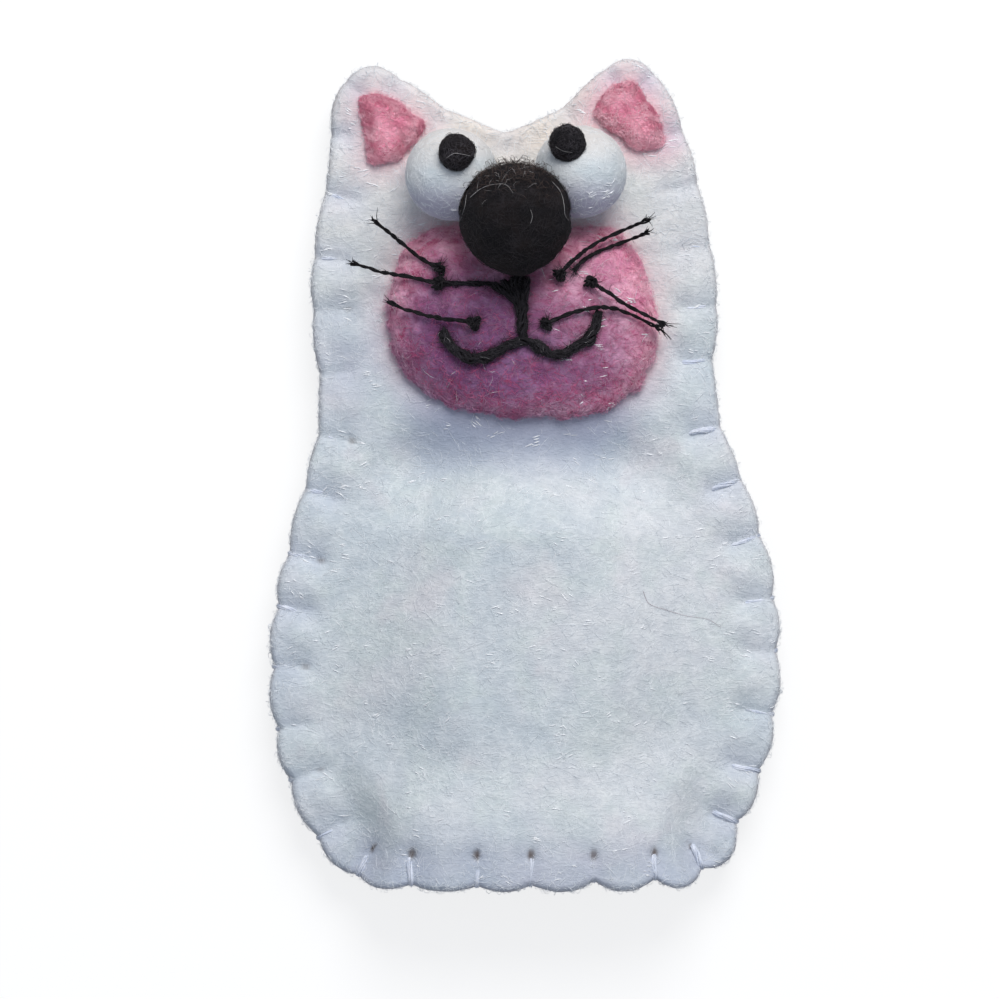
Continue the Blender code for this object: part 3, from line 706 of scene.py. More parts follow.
def grow_fibres(name, piece, finish, count, length, width, rise, seed, weight):
    """Fine hairs that lie on a felt piece and leave it a little.

    Length, width and rise are (least, most), and weight says how densely the hairs grow.
    """
    chance = random.Random(seed)
    mesh = piece.data
    tree = surface_of(piece)
    faces = len(mesh.polygons)
    centres = np.empty(faces * 3)
    mesh.polygons.foreach_get("center", centres)
    centres = centres.reshape(-1, 3)
    normals = np.empty(faces * 3)
    mesh.polygons.foreach_get("normal", normals)
    normals = normals.reshape(-1, 3)
    areas = np.empty(faces)
    mesh.polygons.foreach_get("area", areas)
    dense = areas * weight(centres, normals)
    picked = np.random.default_rng(seed).choice(faces, size=count, p=dense / dense.sum())
    lines = []
    for face in picked:
        spot, normal = Vector(centres[face]), Vector(normals[face])
        direction = Vector((chance.gauss(0, 1), chance.gauss(0, 1), chance.gauss(0, 1)))
        direction = (direction - normal * direction.dot(normal)).normalized()
        reach = chance.uniform(*length) * chance.choice((0.6, 0.8, 1.0, 1.0))
        bend = chance.gauss(0, 1.0)
        top = rise[0] + (rise[1] - rise[0]) * chance.random() ** 3
        free_end = chance.random() < 0.35
        points = []
        for step in range(FIBRE_STEPS):
            share = step / (FIBRE_STEPS - 1)
            high = top * (share**1.5 if free_end else math.sin(math.pi * share)) - width[0] * 0.3
            points.append(tuple(spot + normal * high))
            direction.rotate(Quaternion(normal, bend / FIBRE_STEPS))
            found, facing, *_ = tree.find_nearest(spot + direction * reach / (FIBRE_STEPS - 1))
            spot, normal = found, facing
            direction = (direction - normal * direction.dot(normal)).normalized()
        thick = chance.uniform(*width) / width[1]
        ends = [0.45] + [1.0] * (FIBRE_STEPS - 2) + [0.3]
        lines.append((points, [thick * end for end in ends]))
    return spline_piece(name, lines, width[1], finish)


def grow_glints(name, piece, finish, clusters, seed, width=GLINT, where=None):
    """Small groups of glossy fibres that lie side by side, and catch the light."""
    chance = random.Random(seed)
    mesh = piece.data
    tree = surface_of(piece)
    faces = [face for face in mesh.polygons if face.normal.z > 0.6]
    if where:
        faces = [face for face in faces if where(face.center)]
    lines = []
    for face in chance.sample(faces, clusters):
        lean = chance.gauss(0, 0.4)
        ahead = Vector((math.cos(lean), math.sin(lean), 0.0))
        aside = Vector((-ahead.y, ahead.x, 0.0))
        for _ in range(chance.choice((1, 2, 2, 3, 4))):
            start = face.center + aside * chance.gauss(0, 0.00030) + ahead * chance.gauss(0, 0.00035)
            long = chance.uniform(0.0004, 0.0011)
            bend = chance.gauss(0, 0.12)
            points = []
            for step in range(4):
                share = step / 3
                spot = start + ahead * long * share + aside * long * bend * share * share
                found, facing, *_ = tree.find_nearest(spot)
                points.append(tuple(found + facing * 0.00005 * math.sin(math.pi * share)))
            thick = chance.uniform(0.4, 1.0)
            lines.append((points, [0.3 * thick, thick, thick, 0.3 * thick]))
    return spline_piece(name, lines, width, finish)


# Finishes


def link(tree, source, target):
    tree.links.new(source, target)


def sums(tree, operation, *terms):
    """A step of arithmetic on outputs or plain numbers."""
    node = tree.nodes.new("ShaderNodeMath")
    node.operation = operation
    for number, term in enumerate(terms):
        if isinstance(term, (int, float)):
            node.inputs[number].default_value = term
        else:
            tree.links.new(term, node.inputs[number])
    return node.outputs[0]


def tint(tree, share, low, high, blend="MIX"):
    """Mixes two colours. Each may be an output or a plain colour."""
    node = tree.nodes.new("ShaderNodeMix")
    node.data_type = "RGBA"
    node.blend_type = blend
    ends = (0, share), (6, low), (7, high)
    for number, term in ends:
        if isinstance(term, tuple):
            node.inputs[number].default_value = (*term, 1.0)
        elif isinstance(term, (int, float)):
            node.inputs[number].default_value = term
        else:
            tree.links.new(term, node.inputs[number])
    return node.outputs[2]


def span(tree, value, low, high, new_low=0.0, new_high=1.0):
    """Goes smoothly from one level to another while the value goes from low to high."""
    node = tree.nodes.new("ShaderNodeMapRange")
    node.interpolation_type = "SMOOTHSTEP"
    tree.links.new(value, node.inputs[0])
    for number, level in enumerate((low, high, new_low, new_high), start=1):
        node.inputs[number].default_value = level
    return node.outputs[0]


def noise_at(tree, place, size, detail=2.0, rough=0.5, bend=0.0):
    """Noise with lumps of about the given size, in metres."""
    node = tree.nodes.new("ShaderNodeTexNoise")
    node.inputs["Scale"].default_value = 1.0 / size
    node.inputs["Detail"].default_value = detail
    node.inputs["Roughness"].default_value = rough
    node.inputs["Distortion"].default_value = bend
    tree.links.new(place, node.inputs["Vector"])
    return node.outputs["Fac"]


def turned(tree, place, angle, stretch):
    """The coordinates turned about Z and stretched, so that a pattern runs that way."""
    node = tree.nodes.new("ShaderNodeMapping")
    node.inputs["Rotation"].default_value = (0.0, 0.0, angle)
    node.inputs["Scale"].default_value = stretch
    tree.links.new(place, node.inputs["Vector"])
    return node.outputs["Vector"]


def matted_fibres():
    """Threads of wool that lie over each other in all directions: their height and bright lines."""
    group = bpy.data.node_groups.new("matted fibres", "ShaderNodeTree")
    group.interface.new_socket("Place", in_out="INPUT", socket_type="NodeSocketVector")
    group.interface.new_socket("Height", in_out="OUTPUT", socket_type="NodeSocketFloat")
    group.interface.new_socket("Lines", in_out="OUTPUT", socket_type="NodeSocketFloat")
    group.interface.new_socket("Lumps", in_out="OUTPUT", socket_type="NodeSocketFloat")
    group.interface.new_socket("Grain", in_out="OUTPUT", socket_type="NodeSocketFloat")
    start = group.nodes.new("NodeGroupInput").outputs["Place"]
    end = group.nodes.new("NodeGroupOutput")
    lines = None
    for angle, size, bend in ((0.25, 0.0011, 0.9), (1.9, 0.0014, 1.2), (-0.8, 0.0009, 0.7)):
        field = noise_at(group, turned(group, start, angle, (0.42, 1.25, 0.9)), size, 1.0, 0.5, bend)
        ridge = sums(group, "ABSOLUTE", sums(group, "SUBTRACT", field, 0.5))
        line = span(group, ridge, 0.035, 0.0)
        lines = line if lines is None else sums(group, "MAXIMUM", lines, line)
    patches = span(group, noise_at(group, start, 0.0026, 2.0), 0.42, 0.62)
    lit = sums(group, "MULTIPLY", lines, patches)
    grain = noise_at(group, start, 0.00042, 3.0, 0.65)
    soft = noise_at(group, start, 0.0016, 2.0, 0.55)
    height = sums(group, "MULTIPLY_ADD", lines, 0.20, sums(group, "MULTIPLY_ADD", grain, 0.90, soft))
    link(group, height, end.inputs["Height"])
    link(group, lit, end.inputs["Lines"])
    link(group, soft, end.inputs["Lumps"])
    link(group, grain, end.inputs["Grain"])
    return group


class Finish:
    """A material with its shader, its coordinates and the shared fibre pattern at hand."""

    def __init__(self, name, roughness, fibres=None):
        self.material = bpy.data.materials.new(name)
        self.material.use_nodes = True
        self.tree = self.material.node_tree
        self.shader = self.tree.nodes["Principled BSDF"]
        self.place = self.tree.nodes.new("ShaderNodeTexCoord").outputs["Object"]
        self.shader.inputs["Roughness"].default_value = roughness
        if fibres:
            node = self.tree.nodes.new("ShaderNodeGroup")
            node.node_tree = fibres
            link(self.tree, self.place, node.inputs["Place"])
            self.fibres = node

    def painted(self, name):
        node = self.tree.nodes.new("ShaderNodeAttribute")
        node.attribute_name = name
        return node.outputs["Fac"]

    def colour(self, output):
        link(self.tree, output, self.shader.inputs["Base Color"])

    def relief(self, height, depth, strength=1.0):
        bump = self.tree.nodes.new("ShaderNodeBump")
        bump.inputs["Distance"].default_value = depth
        bump.inputs["Strength"].default_value = strength
        link(self.tree, height, bump.inputs["Height"])
        link(self.tree, bump.outputs["Normal"], self.shader.inputs["Normal"])


def white_felt(fibres):
    """Cloudy white wool, with painted shade, bluish where it is pressed in and brown at the holes, and
    painted pink light near the patches.
    """
    made = Finish("white felt", 0.9, fibres)
    tree = made.tree
    cloud = span(tree, noise_at(tree, made.place, 0.014, 2.0), 0.35, 0.65)
    tone = tint(tree, cloud, (0.632, 0.684, 0.710), (0.738, 0.752, 0.764))
    hue = span(tree, noise_at(tree, made.place, 0.0052, 2.0, 0.5, 0.4), 0.40, 0.68)
    tone = tint(tree, sums(tree, "MULTIPLY", hue, 0.55), tone, (0.665, 0.728, 0.705))
    rose = span(tree, noise_at(tree, made.place, 0.0071, 2.0, 0.5, 0.6), 0.54, 0.74)
    tone = tint(tree, sums(tree, "MULTIPLY", rose, 0.55), tone, (0.755, 0.720, 0.735))
    tone = tint(tree, made.painted("warmth"), tone, (0.91, 0.81, 0.72))
    # painted pink light, as reflected off the muzzle and the ears' linings
    tone = tint(tree, made.painted("pink_bounce_light"), tone, (0.84, 0.565, 0.60))
    pale = span(tree, made.fibres.outputs["Lumps"], 0.38, 0.66)
    tone = tint(tree, pale, tint(tree, 1.0, tone, (0.900, 0.914, 0.928), "MULTIPLY"), tone)
    grain = span(tree, made.fibres.outputs["Grain"], 0.36, 0.62)
    tone = tint(tree, grain, tint(tree, 1.0, tone, (0.93, 0.935, 0.94), "MULTIPLY"), tone)
    lines = sums(tree, "MULTIPLY", made.fibres.outputs["Lines"], 0.22)
    tone = tint(tree, lines, tone, (0.90, 0.91, 0.92))
    # painted shade, bluish, in the soft valleys along the stitches
    pressed = sums(tree, "MULTIPLY", made.painted("groove_shade"), 0.34)
    tone = tint(tree, pressed, tone, (0.52, 0.57, 0.70))
    # painted shade, bluish, under the muzzle, beside it, at the hem and at the left
    crease_shade_mix = sums(tree, "MULTIPLY", made.painted("crease_shade"), 0.78)
    tone = tint(tree, crease_shade_mix, tone, (0.36, 0.40, 0.53))
    cut = sums(tree, "MULTIPLY", made.painted("rim"), 0.45)
    tone = tint(tree, cut, tone, (0.60, 0.53, 0.53))
    # painted shade, brownish, at the needle holes
    hole_shade = span(tree, made.painted("hole"), 0.12, 1.0, 0.0, 0.95)
    tone = tint(tree, hole_shade, tone, (0.150, 0.118, 0.105))
    made.colour(tone)
    made.relief(made.fibres.outputs["Height"], 0.00009)
    glint = span(tree, made.fibres.outputs["Lines"], 0.2, 0.9, 0.92, 0.60)
    link(tree, glint, made.shader.inputs["Roughness"])
    made.shader.inputs["Sheen Weight"].default_value = 0.2
    made.shader.inputs["Sheen Roughness"].default_value = 0.5
    made.shader.inputs["Specular IOR Level"].default_value = 0.3
    return made.material


def pink_felt(fibres, name, light, deep, dark, shaded):
    """Mottled pink wool with dark flecks, most at its rim. Shaded is the tone of its painted shade, on
    its purple side.
    """
    made = Finish(name, 0.9, fibres)
    tree = made.tree
    cloud = span(tree, noise_at(tree, made.place, 0.0030, 3.0, 0.6, 0.5), 0.38, 0.64)
    tone = tint(tree, cloud, deep, light)
    spots = span(tree, noise_at(tree, made.place, 0.0019, 2.0, 0.6, 0.6), 0.53, 0.68)
    edge = sums(tree, "MULTIPLY_ADD", made.painted("rim"), 0.55, 0.34)
    tone = tint(tree, made.painted("shade"), tone, tint(tree, 1.0, tone, shaded, "MULTIPLY"))
    deepened = sums(tree, "MULTIPLY", made.painted("shade"), 0.62)
    dark = tint(tree, deepened, dark, tint(tree, 1.0, shaded, dark, "MULTIPLY"))
    tone = tint(tree, sums(tree, "MULTIPLY", spots, edge), tone, dark)
    broad = span(tree, noise_at(tree, made.place, 0.0042, 2.0, 0.6, 0.8), 0.56, 0.68)
    broad = sums(tree, "MULTIPLY", broad, sums(tree, "MULTIPLY_ADD", made.painted("rim"), 0.42, 0.08))
    tone = tint(tree, broad, tone, dark)
    lines = sums(tree, "MULTIPLY", made.fibres.outputs["Lines"], 0.16)
    tone = tint(tree, lines, tone, (0.76, 0.50, 0.58))
    made.colour(tone)
    made.relief(made.fibres.outputs["Height"], 0.00014)
    made.shader.inputs["Sheen Weight"].default_value = 0.12
    made.shader.inputs["Sheen Roughness"].default_value = 0.4
    made.shader.inputs["Specular IOR Level"].default_value = 0.3
    return made.material


def wool_ball(fibres):
    """White wool, with painted light, warmer, on the side towards the ears, and painted shade, mauve, on
    the side away from them.
    """
    made = Finish("white wool ball", 0.85, fibres)
    tree = made.tree
    cloud = span(tree, noise_at(tree, made.place, 0.004, 2.0), 0.35, 0.65)
    tone = tint(tree, cloud, (0.59, 0.645, 0.670), (0.67, 0.69, 0.695))
    # painted light: warmer on the side towards the ears
    tone = tint(tree, span(tree, made.painted("upward"), 0.0, 0.8), tone, (0.68, 0.65, 0.625))
    # painted shade: mauve on the side away from the ears
    tone = tint(tree, span(tree, made.painted("upward"), 0.0, -0.75), tone, (0.48, 0.465, 0.565))
    lines = sums(tree, "MULTIPLY", made.fibres.outputs["Lines"], 0.25)
    tone = tint(tree, lines, tone, (0.88, 0.9, 0.92))
    made.colour(tone)
    made.relief(made.fibres.outputs["Height"], 0.00010)
    made.shader.inputs["Sheen Weight"].default_value = 0.2
    made.shader.inputs["Specular IOR Level"].default_value = 0.35
    return made.material


def black_felt(fibres):
    """Nearly black wool with paler fibres in it."""
    made = Finish("black felt", 0.85, fibres)
    tree = made.tree
    cloud = span(tree, noise_at(tree, made.place, 0.0030, 2.0, 0.5, 0.4), 0.35, 0.70)
    tone = tint(tree, cloud, (0.0050, 0.0048, 0.0064), (0.0105, 0.0078, 0.0082))
    lines = sums(tree, "MULTIPLY", made.fibres.outputs["Lines"], 0.45)
    tone = tint(tree, lines, tone, (0.032, 0.028, 0.031))
    made.colour(tone)
    made.relief(made.fibres.outputs["Height"], 0.00016)
    made.shader.inputs["Specular IOR Level"].default_value = 0.12
    return made.material


def thread_finish(name, dark, light, roughness, shine, size, shaded=None):
    """Thread or loose fibre, a little lighter and darker along its length."""
    made = Finish(name, roughness)
    tree = made.tree
    streak = span(tree, noise_at(tree, made.place, size, 3.0, 0.6, 0.5), 0.35, 0.65)
    tone = tint(tree, streak, dark, light)
    # painted shade, where the piece carries it
    if shaded:
        tone = tint(tree, made.painted("shade"), tone, tint(tree, 1.0, tone, shaded, "MULTIPLY"))
    made.colour(tone)
    made.relief(noise_at(tree, made.place, size / 3, 2.0, 0.6), 0.00005)
    made.shader.inputs["Specular IOR Level"].default_value = shine
    return made.material


# The puppet's pieces


def pink_bounce_light(spots):
    """How much painted pink light, as reflected off the patches, the white felt gets: most beside the
    ears' linings.
    """
    most = np.zeros(len(spots))
    for outline, strength in ((MUZZLE, 0.40), (LININGS["left"], 0.50), (LININGS["right"], 0.88)):
        _, depth = Edge(outline).nearest(spots)
        near = strength * (1 - ease(depth, 0.0, 0.0038)) + 0.35 * (1 - ease(depth, 0.0, 0.0010))
        most = np.maximum(most, near)
    return most


def chin(spots):
    """1 in the deep fold under the muzzle, where shade is painted, fading out round it."""
    deep = ease(spots[:, 1], -0.0022, 0.0054) * (1 - ease(spots[:, 1], 0.0100, 0.0140))
    return deep * (1 - ease(np.abs(spots[:, 0] + 0.0005), 0.0075, 0.0165))


def crease_shading(spots):
    """Where shade is painted on the white felt: under the muzzle, beside it, at the hem and at the left.
    """
    x, y = spots[:, 0], spots[:, 1]
    hem_side = 0.55 * ease(-y, 0.0355, 0.0445)
    left_side = 0.16 * ease(-x, 0.0220, 0.0262) * ease(-y, -0.002, 0.006)
    hollow = 0.46 * np.exp(-((x + 0.0190) / 0.0044) ** 2 - ((y - 0.0128) / 0.0066) ** 2)
    return np.maximum.reduce([chin(spots), hem_side, left_side, hollow])


def sewn_panel(name, puppet, levels, voxel, finish, relief):
    """The front or the back panel, swollen between its stitches and dimpled at the needle holes."""
    piece = felt_plate(name, puppet.edge, FELT, voxel, finish)
    mesh = piece.data
    spots, share, travel, depth = round_edge(
        puppet.edge, points_of(mesh), FELT, CUT_EDGE_SWELL, CUT_EDGE_RUN,
    )
    pull = puppet.scallop(spots, travel) * (1 - ease(depth, 0.0004, 0.0034))
    spots[:, :2] += puppet.edge.inward(travel) * pull[:, None]
    heights = puppet.heights(spots)
    low, high = heights[levels[0]], heights[levels[1]]
    sewn = puppet.needlework(spots)
    swollen = 0.65 * relief * lumps(spots, 0.0085, 1.0) + 0.35 * relief * lumps(spots, 0.0028, 2.0)
    swollen += 0.10 * relief * lumps(spots, 0.0010, 3.0)
    swollen *= ease(depth, 0.0, 0.0012)
    if levels[0] > 0:
        fold = puppet.fold(spots) + puppet.mouth_edge(spots)
        low -= fold
        swollen += PINCH * sewn["pressed"] - (1 - PUFF_LEFT) * PUFF * sewn["puff"] - fold
    middle = (low + high + swollen) / 2
    top = high + swollen - VALLEY * sewn["valley"] - SLOT * sewn["slot"] - DIMPLE * sewn["hole"]
    bottom = low + 0.5 * DIMPLE * sewn["hole"]
    bottom = np.minimum(bottom, middle)
    height = bottom + (np.maximum(top, middle) - bottom) * share
    if levels[0] == 0:
        height = np.maximum(height, 0.00002)
    side = lumps(spots * (1, 1, 0) + (0, 0, 0.01) * share[:, None], 0.0011, 4.0) * 0.00008
    spots[:, :2] += puppet.edge.inward(travel) * (side * (1 - ease(depth, 0.0, 0.0015)))[:, None]
    spots[:, 2] = height
    move_points(mesh, spots)
    # painted shade along the valleys of the stitches
    paint(mesh, "groove_shade", sewn["valley"] * share)
    # painted shade under the muzzle, at the hem and at the left
    paint(mesh, "crease_shade", crease_shading(spots))
    paint(mesh, "rim", 1 - ease(depth + 0.0004 * share, 0.0001, 0.0008))
    # the hole mask also carries the painted shade at the needle holes
    paint(mesh, "hole", sewn["hole"])
    # a warmer and lighter tone on the head, most between the ears
    between_ears = ease(spots[:, 1], 0.033, 0.037) * (1 - ease(np.abs(spots[:, 0]), 0.006, 0.015))
    head = ease(spots[:, 1], 0.010, 0.030)
    paint(mesh, "warmth", 0.30 * head + 0.62 * between_ears)
    # painted pink light reflected off the patches beside them
    paint(mesh, "pink_bounce_light", pink_bounce_light(spots))
    return piece


def thread_dip(spots):
    """How far the muzzle's felt is pressed in near the black thread and the knots."""
    lines = [PHILTRUM, SMILE, CHEEK]
    paths = [even_line(np.array(line, float) * MM, 0.0004)[:, :2] for line in lines]
    paths += [np.array([points[0][:2]]) * MM for points in WHISKERS.values()]
    dip = np.zeros(len(spots))
    for path in paths:
        gap = np.linalg.norm(spots[:, None, :2] - path[None], axis=2).min(axis=1)
        dip = np.maximum(dip, np.exp(-((gap / THREAD_DIP_WIDTH) ** 2)))
    return THREAD_DIP * dip


def muzzle_crown(spots):
    """How far the muzzle stands above its solid: domed, flat at the nose, and thin at its edge."""
    spots = np.asarray(spots, float)
    _, depth = Edge(MUZZLE).nearest(spots)
    nose = np.exp(-(((spots[:, :2] - NOSE) ** 2).sum(axis=1) / 0.0062**2))
    thin = (1 - MUZZLE_RIM) * MUZZLE_FELT * (1 - ease(depth, -0.0008, MUZZLE_THIN))
    return CROWN * ease(depth, 0.0, CROWN_RUN) * (1 - nose) - thin


def lining_crown(outline):
    """How far an ear's lining stands above its solid: less, and thin at its edge."""
    edge = Edge(outline)

    def crown(spots):
        _, depth = edge.nearest(spots)
        return -0.72 * LINING_FELT * (1 - ease(depth, -0.0004, LINING_THIN)) - 0.00020

    return crown


def painted_muzzle_shade(spots):
    """How much painted shade turns the muzzle from rose, at its upper right, to purple at its left and
    bottom.
    """
    away = -0.45 * spots[:, 0] - 1.25 * (spots[:, 1] - 0.0172)
    curl = np.exp(-(((spots[:, :2] - (-0.0040, 0.0160)) ** 2).sum(axis=1) / 0.0066**2))
    _, depth = Edge(MUZZLE).nearest(spots)
    rim = 1 - ease(depth, 0.0004, 0.0046)
    return ease(away / 0.016 + 0.80 * curl - 0.80 * rim, -1.34, 0.88)


def face_patch(name, outline, voxel, thickness, under, finish, crown, swell, run, relief, ragged):
    """The muzzle or an ear's lining: a small felt piece on the front panel."""
    edge = Edge(outline)
    piece = felt_plate(name, edge, thickness, voxel, finish)
    mesh = piece.data
    spots, share, travel, depth = round_edge(edge, points_of(mesh), thickness, swell, run)
    low = under(spots) - SEAT_GAP * 0.7
    uneven = lumps(spots * (1, 1, 0), 0.0022, 5.0) + 0.8 * lumps(spots * (1, 1, 0), 0.0009, 6.0)
    spots[:, :2] += edge.inward(travel) * (ragged * uneven * (1 - ease(depth, 0.0, 0.0015)))[:, None]
    swollen = relief * lumps(spots, 0.0042, 7.0) + 0.6 * relief * lumps(spots, 0.0015, 8.0)
    swollen += 0.3 * relief * lumps(spots, 0.0006, 9.0)
    raised = thickness + SEAT_GAP * 0.7 + swollen * ease(depth, 0.0, 0.001)
    raised += crown(spots)
    spots[:, 2] = low + raised * share
    move_points(mesh, spots)
    paint(mesh, "rim", 1 - ease(depth, 0.0006, 0.0042))
    # painted shade, purple, towards the muzzle's left and bottom
    paint(mesh, "shade", painted_muzzle_shade(spots))
    return piece, edge


def felt_ball(
    name, middle, radius, seat, dents, finish, relief, seed, facets=0.0, divisions=BALL_DIVISIONS,
):
    """A felted ball: uneven, flat where it is sewn on, and dented by the balls that touch it."""
    piece = ball(name, middle, radius, divisions, finish)
    mesh = piece.data
    spots = points_of(mesh)
    away = (spots - np.array(middle)) / radius
    uneven = relief * lumps(away, 0.9, seed) + 0.4 * relief * lumps(away, 0.3, seed + 1)
    if facets:
        cells = np.array([noise.voronoi(Vector(a) * 1.7 + Vector((seed, 0, 0)))[0][0] for a in away])
        uneven -= facets * (cells - cells.mean())
    uneven = np.minimum(uneven, relief)
    spots = np.array(middle) + away * (radius + uneven[:, None] - relief * 0.5)
    for centre, reach in dents:
        gap = spots - np.array(centre)
        far = np.linalg.norm(gap, axis=1)
        inside = far < reach
        spots[inside] = np.array(centre) + gap[inside] / far[inside][:, None] * reach
    floor = seat(spots[:, :2]) + SEAT_GAP * 0.35
    spots[:, 2] = np.maximum(spots[:, 2], floor)
    move_points(mesh, spots)
    # read by the wool's painted light and shade
    paint(mesh, "upward", away[:, 1])
    return piece


def offset_line(line, distance):
    """A line of (inset, height) points moved off to its left, with mitred corners."""
    line = np.array(line, float)
    runs = np.diff(line, axis=0)
    runs /= np.linalg.norm(runs, axis=1)[:, None]
    sides = np.column_stack([-runs[:, 1], runs[:, 0]])
    moved = [line[0] + distance * sides[0]]
    for spot, before, after in zip(line[1:-1], sides, sides[1:]):
        middle = before + after
        moved.append(spot + distance * middle * 2 / (middle @ middle))
    moved.append(line[-1] + distance * sides[-1])
    return moved


def overcast_path(puppet, stitches, under, top):
    """The thread that is wrapped round the edge, stitch by stitch, and pulled into the felt."""
    edge = puppet.edge
    away = SEAM_THREAD / 2 + THREAD_GAP
    half, turn = NEEDLE_HOLE / 2, SEAM_THREAD / 3
    path = []
    for order, index in enumerate(stitches):
        s, leg = puppet.stitches[index], puppet.legs[index]
        across, along = edge.place(s, 0.0)
        deeper = SUNK_LEFT * (across < 0.0005) * (0.8 + 0.2 * math.sin(1.9 * index))
        if along > 0.030:
            deeper = SUNK_EARS
        close = away - SUNK

        def level(inset, which, at=s):
            spots = [edge.place(at + side * SEAM_THREAD / 2, inset) for side in (-1, 0, 1)]
            found = puppet.heights(spots)[which]
            if which > 1:
                found = found - puppet.mouth_edge(np.array(spots))
            return found.max() if which in (1, 3) else found.min()

        pulled = puppet.scallop(edge.place(s, 0.0)[None], np.array([s]))[0]
        drawn = NOTCH + max(0.0, pulled - SCALLOP)
        shoulder = drawn + EDGE_ROUND
        rims = [(level(shoulder, k) + level(shoulder, k + 1)) / 2 for k in range(under, top, 2)]
        lean = 0.00035 * math.sin(1.7 * index)
        section = [
            (shoulder + SEAM_THREAD / 2, level(shoulder, under)),
            (shoulder, level(shoulder, under)),
            *((drawn, middle) for middle in rims),
            (shoulder, level(shoulder, top)),
        ]
        line = [(inset, height, 0.0) for inset, height in offset_line(section, close)]
        line[-1] = (line[-1][0], line[-1][1] - max(deeper, SUNK_EDGE), 0.0)
        line.append((leg - half, level(leg - half, top) + close - deeper - DRAWN_IN, lean))
        line.append((leg - turn, level(leg - half, top) + 1.5 * (close - deeper) - DRAWN_IN, lean))
        line.append((leg + turn / 2, level(leg, top) - turn - DIMPLE - 1.6 * deeper, lean))
        line.append((leg, level(leg, under) + turn, 0.0))
        line.append((leg - turn, level(leg, under) - close, 0.0))
        path += [(*edge.place(s + aside, inset), height) for inset, height, aside in line]
        if order < len(stitches) - 1:
            ahead = puppet.stitches[stitches[order + 1]]
            ahead += edge.length if ahead < s else 0.0
            halfway = (edge.place(s, leg) + edge.place(ahead, shoulder)) / 2
            path.append((*halfway, level((leg + shoulder) / 2, under, (s + ahead) / 2) - close))
    path = np.array(path)
    path[:, 2] = np.maximum(path[:, 2], SEAM_THREAD / 2)
    return path


def on_muzzle(puppet, points, diameter, sunk=0.0):
    """Places a thread on the muzzle, from points given across, along and above it, in millimetres."""
    line = np.array(points, float) * MM
    return np.array([
        (x, y, level + diameter / 2 + SEWN_GAP + above - sunk)
        for (x, y, above), level in zip(line, puppet.muzzle_top(line) + muzzle_crown(line))
    ])


def frayed_end(line, hairs, reach, spread, seed):
    """The loose hairs at the cut end of a thread."""
    chance = random.Random(seed)
    tip, ahead = line[-1], line[-1] - line[-4]
    ahead /= np.linalg.norm(ahead)
    lines = []
    for _ in range(hairs):
        lean = np.array([chance.gauss(0, spread), chance.gauss(0, spread), chance.gauss(0, spread * 0.5)])
        start = tip - ahead * chance.uniform(0.2, 1.2) * MM
        long = chance.uniform(0.5, 1.0) * reach
        points = [start + (ahead + lean * k / 3) * long * k / 3 for k in range(4)]
        lines.append((np.array(points), [0.3, 0.3, 0.25, 0.12]))
    return lines


def loose_hairs(line, radius, hairs, reach, seed):
    """Fine hairs that stand off a thread or a knot on all sides."""
    chance = random.Random(seed + 50)
    lines = []
    for _ in range(hairs):
        root = line[chance.randrange(len(line))]
        out = np.array([chance.gauss(0, 1), chance.gauss(0, 1), abs(chance.gauss(0, 0.5))])
        out /= np.linalg.norm(out)
        bend = np.array([chance.gauss(0, 1), chance.gauss(0, 1), 0.0]) * 0.5
        long = chance.uniform(0.3, 1.0) * reach
        points = []
        for k in range(4):
            share = k / 3
            points.append(root + out * (radius * 0.6 + long * share) + bend * long * share * share)
        lines.append((np.array(points), [0.16, 0.14, 0.12, 0.07]))
    return lines


def knot_lines(middle, radius, seed):
    """A small tied knot, as a closed trefoil of thread."""
    chance = random.Random(seed)
    turn = Quaternion((chance.random(), chance.random(), 1.0), chance.uniform(0, 6.28))
    points = []
    for k in range(KNOT_STEPS + 1):
        t = 2 * math.pi * k / KNOT_STEPS
        spot = Vector((
            math.sin(t) + 2 * math.sin(2 * t), math.cos(t) - 2 * math.cos(2 * t), -0.9 * math.sin(3 * t)
        ))
        spot.rotate(turn)
        points.append(np.array(middle) + np.array(spot) * radius / 3)
    return (np.array(points), [0.85] * len(points))


def carry(piece, slot, *nodes):
    """Puts a piece on the puppet, in place of the solids that it stands for."""
    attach(piece, "root")
    if nodes:
        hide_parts(*nodes)
    return piece


def add_panels(puppet, finish):
    """The two felt panels."""
    front = sewn_panel("front_felt", puppet, (2, 3), PANEL_VOXEL, finish, relief=0.00016)
    back = sewn_panel("back_felt", puppet, (0, 1), BACK_VOXEL, finish, relief=0.00010)
    carry(front, "white_felt", "front_panel")
    carry(back, "white_felt", "back_panel")
    return front, back


def add_overcasting(puppet, finish):
    """The white threads round the seam and along the two hems."""
    made = []
    for name, node, stitches, under, top in (
        ("seam_stitches", "seam_thread", puppet.sewn, 0, 3),
        ("back_hem_stitches", "back_hem_thread", puppet.back_hem, 0, 1),
        ("front_hem_stitches", "front_hem_thread", puppet.hem, 2, 3),
    ):
        line = even_line(overcast_path(puppet, stitches, under, top), 0.00038)
        strands = twisted(
            line, plies=12, width=SEAM_THREAD * 1.1, turn=0.0120, seed=len(made), wander=0.00005,
        )
        piece = spline_piece(name, strands, SEAM_THREAD * 0.25, finish)
        made.append(carry(piece, "white_thread", node))
    return made


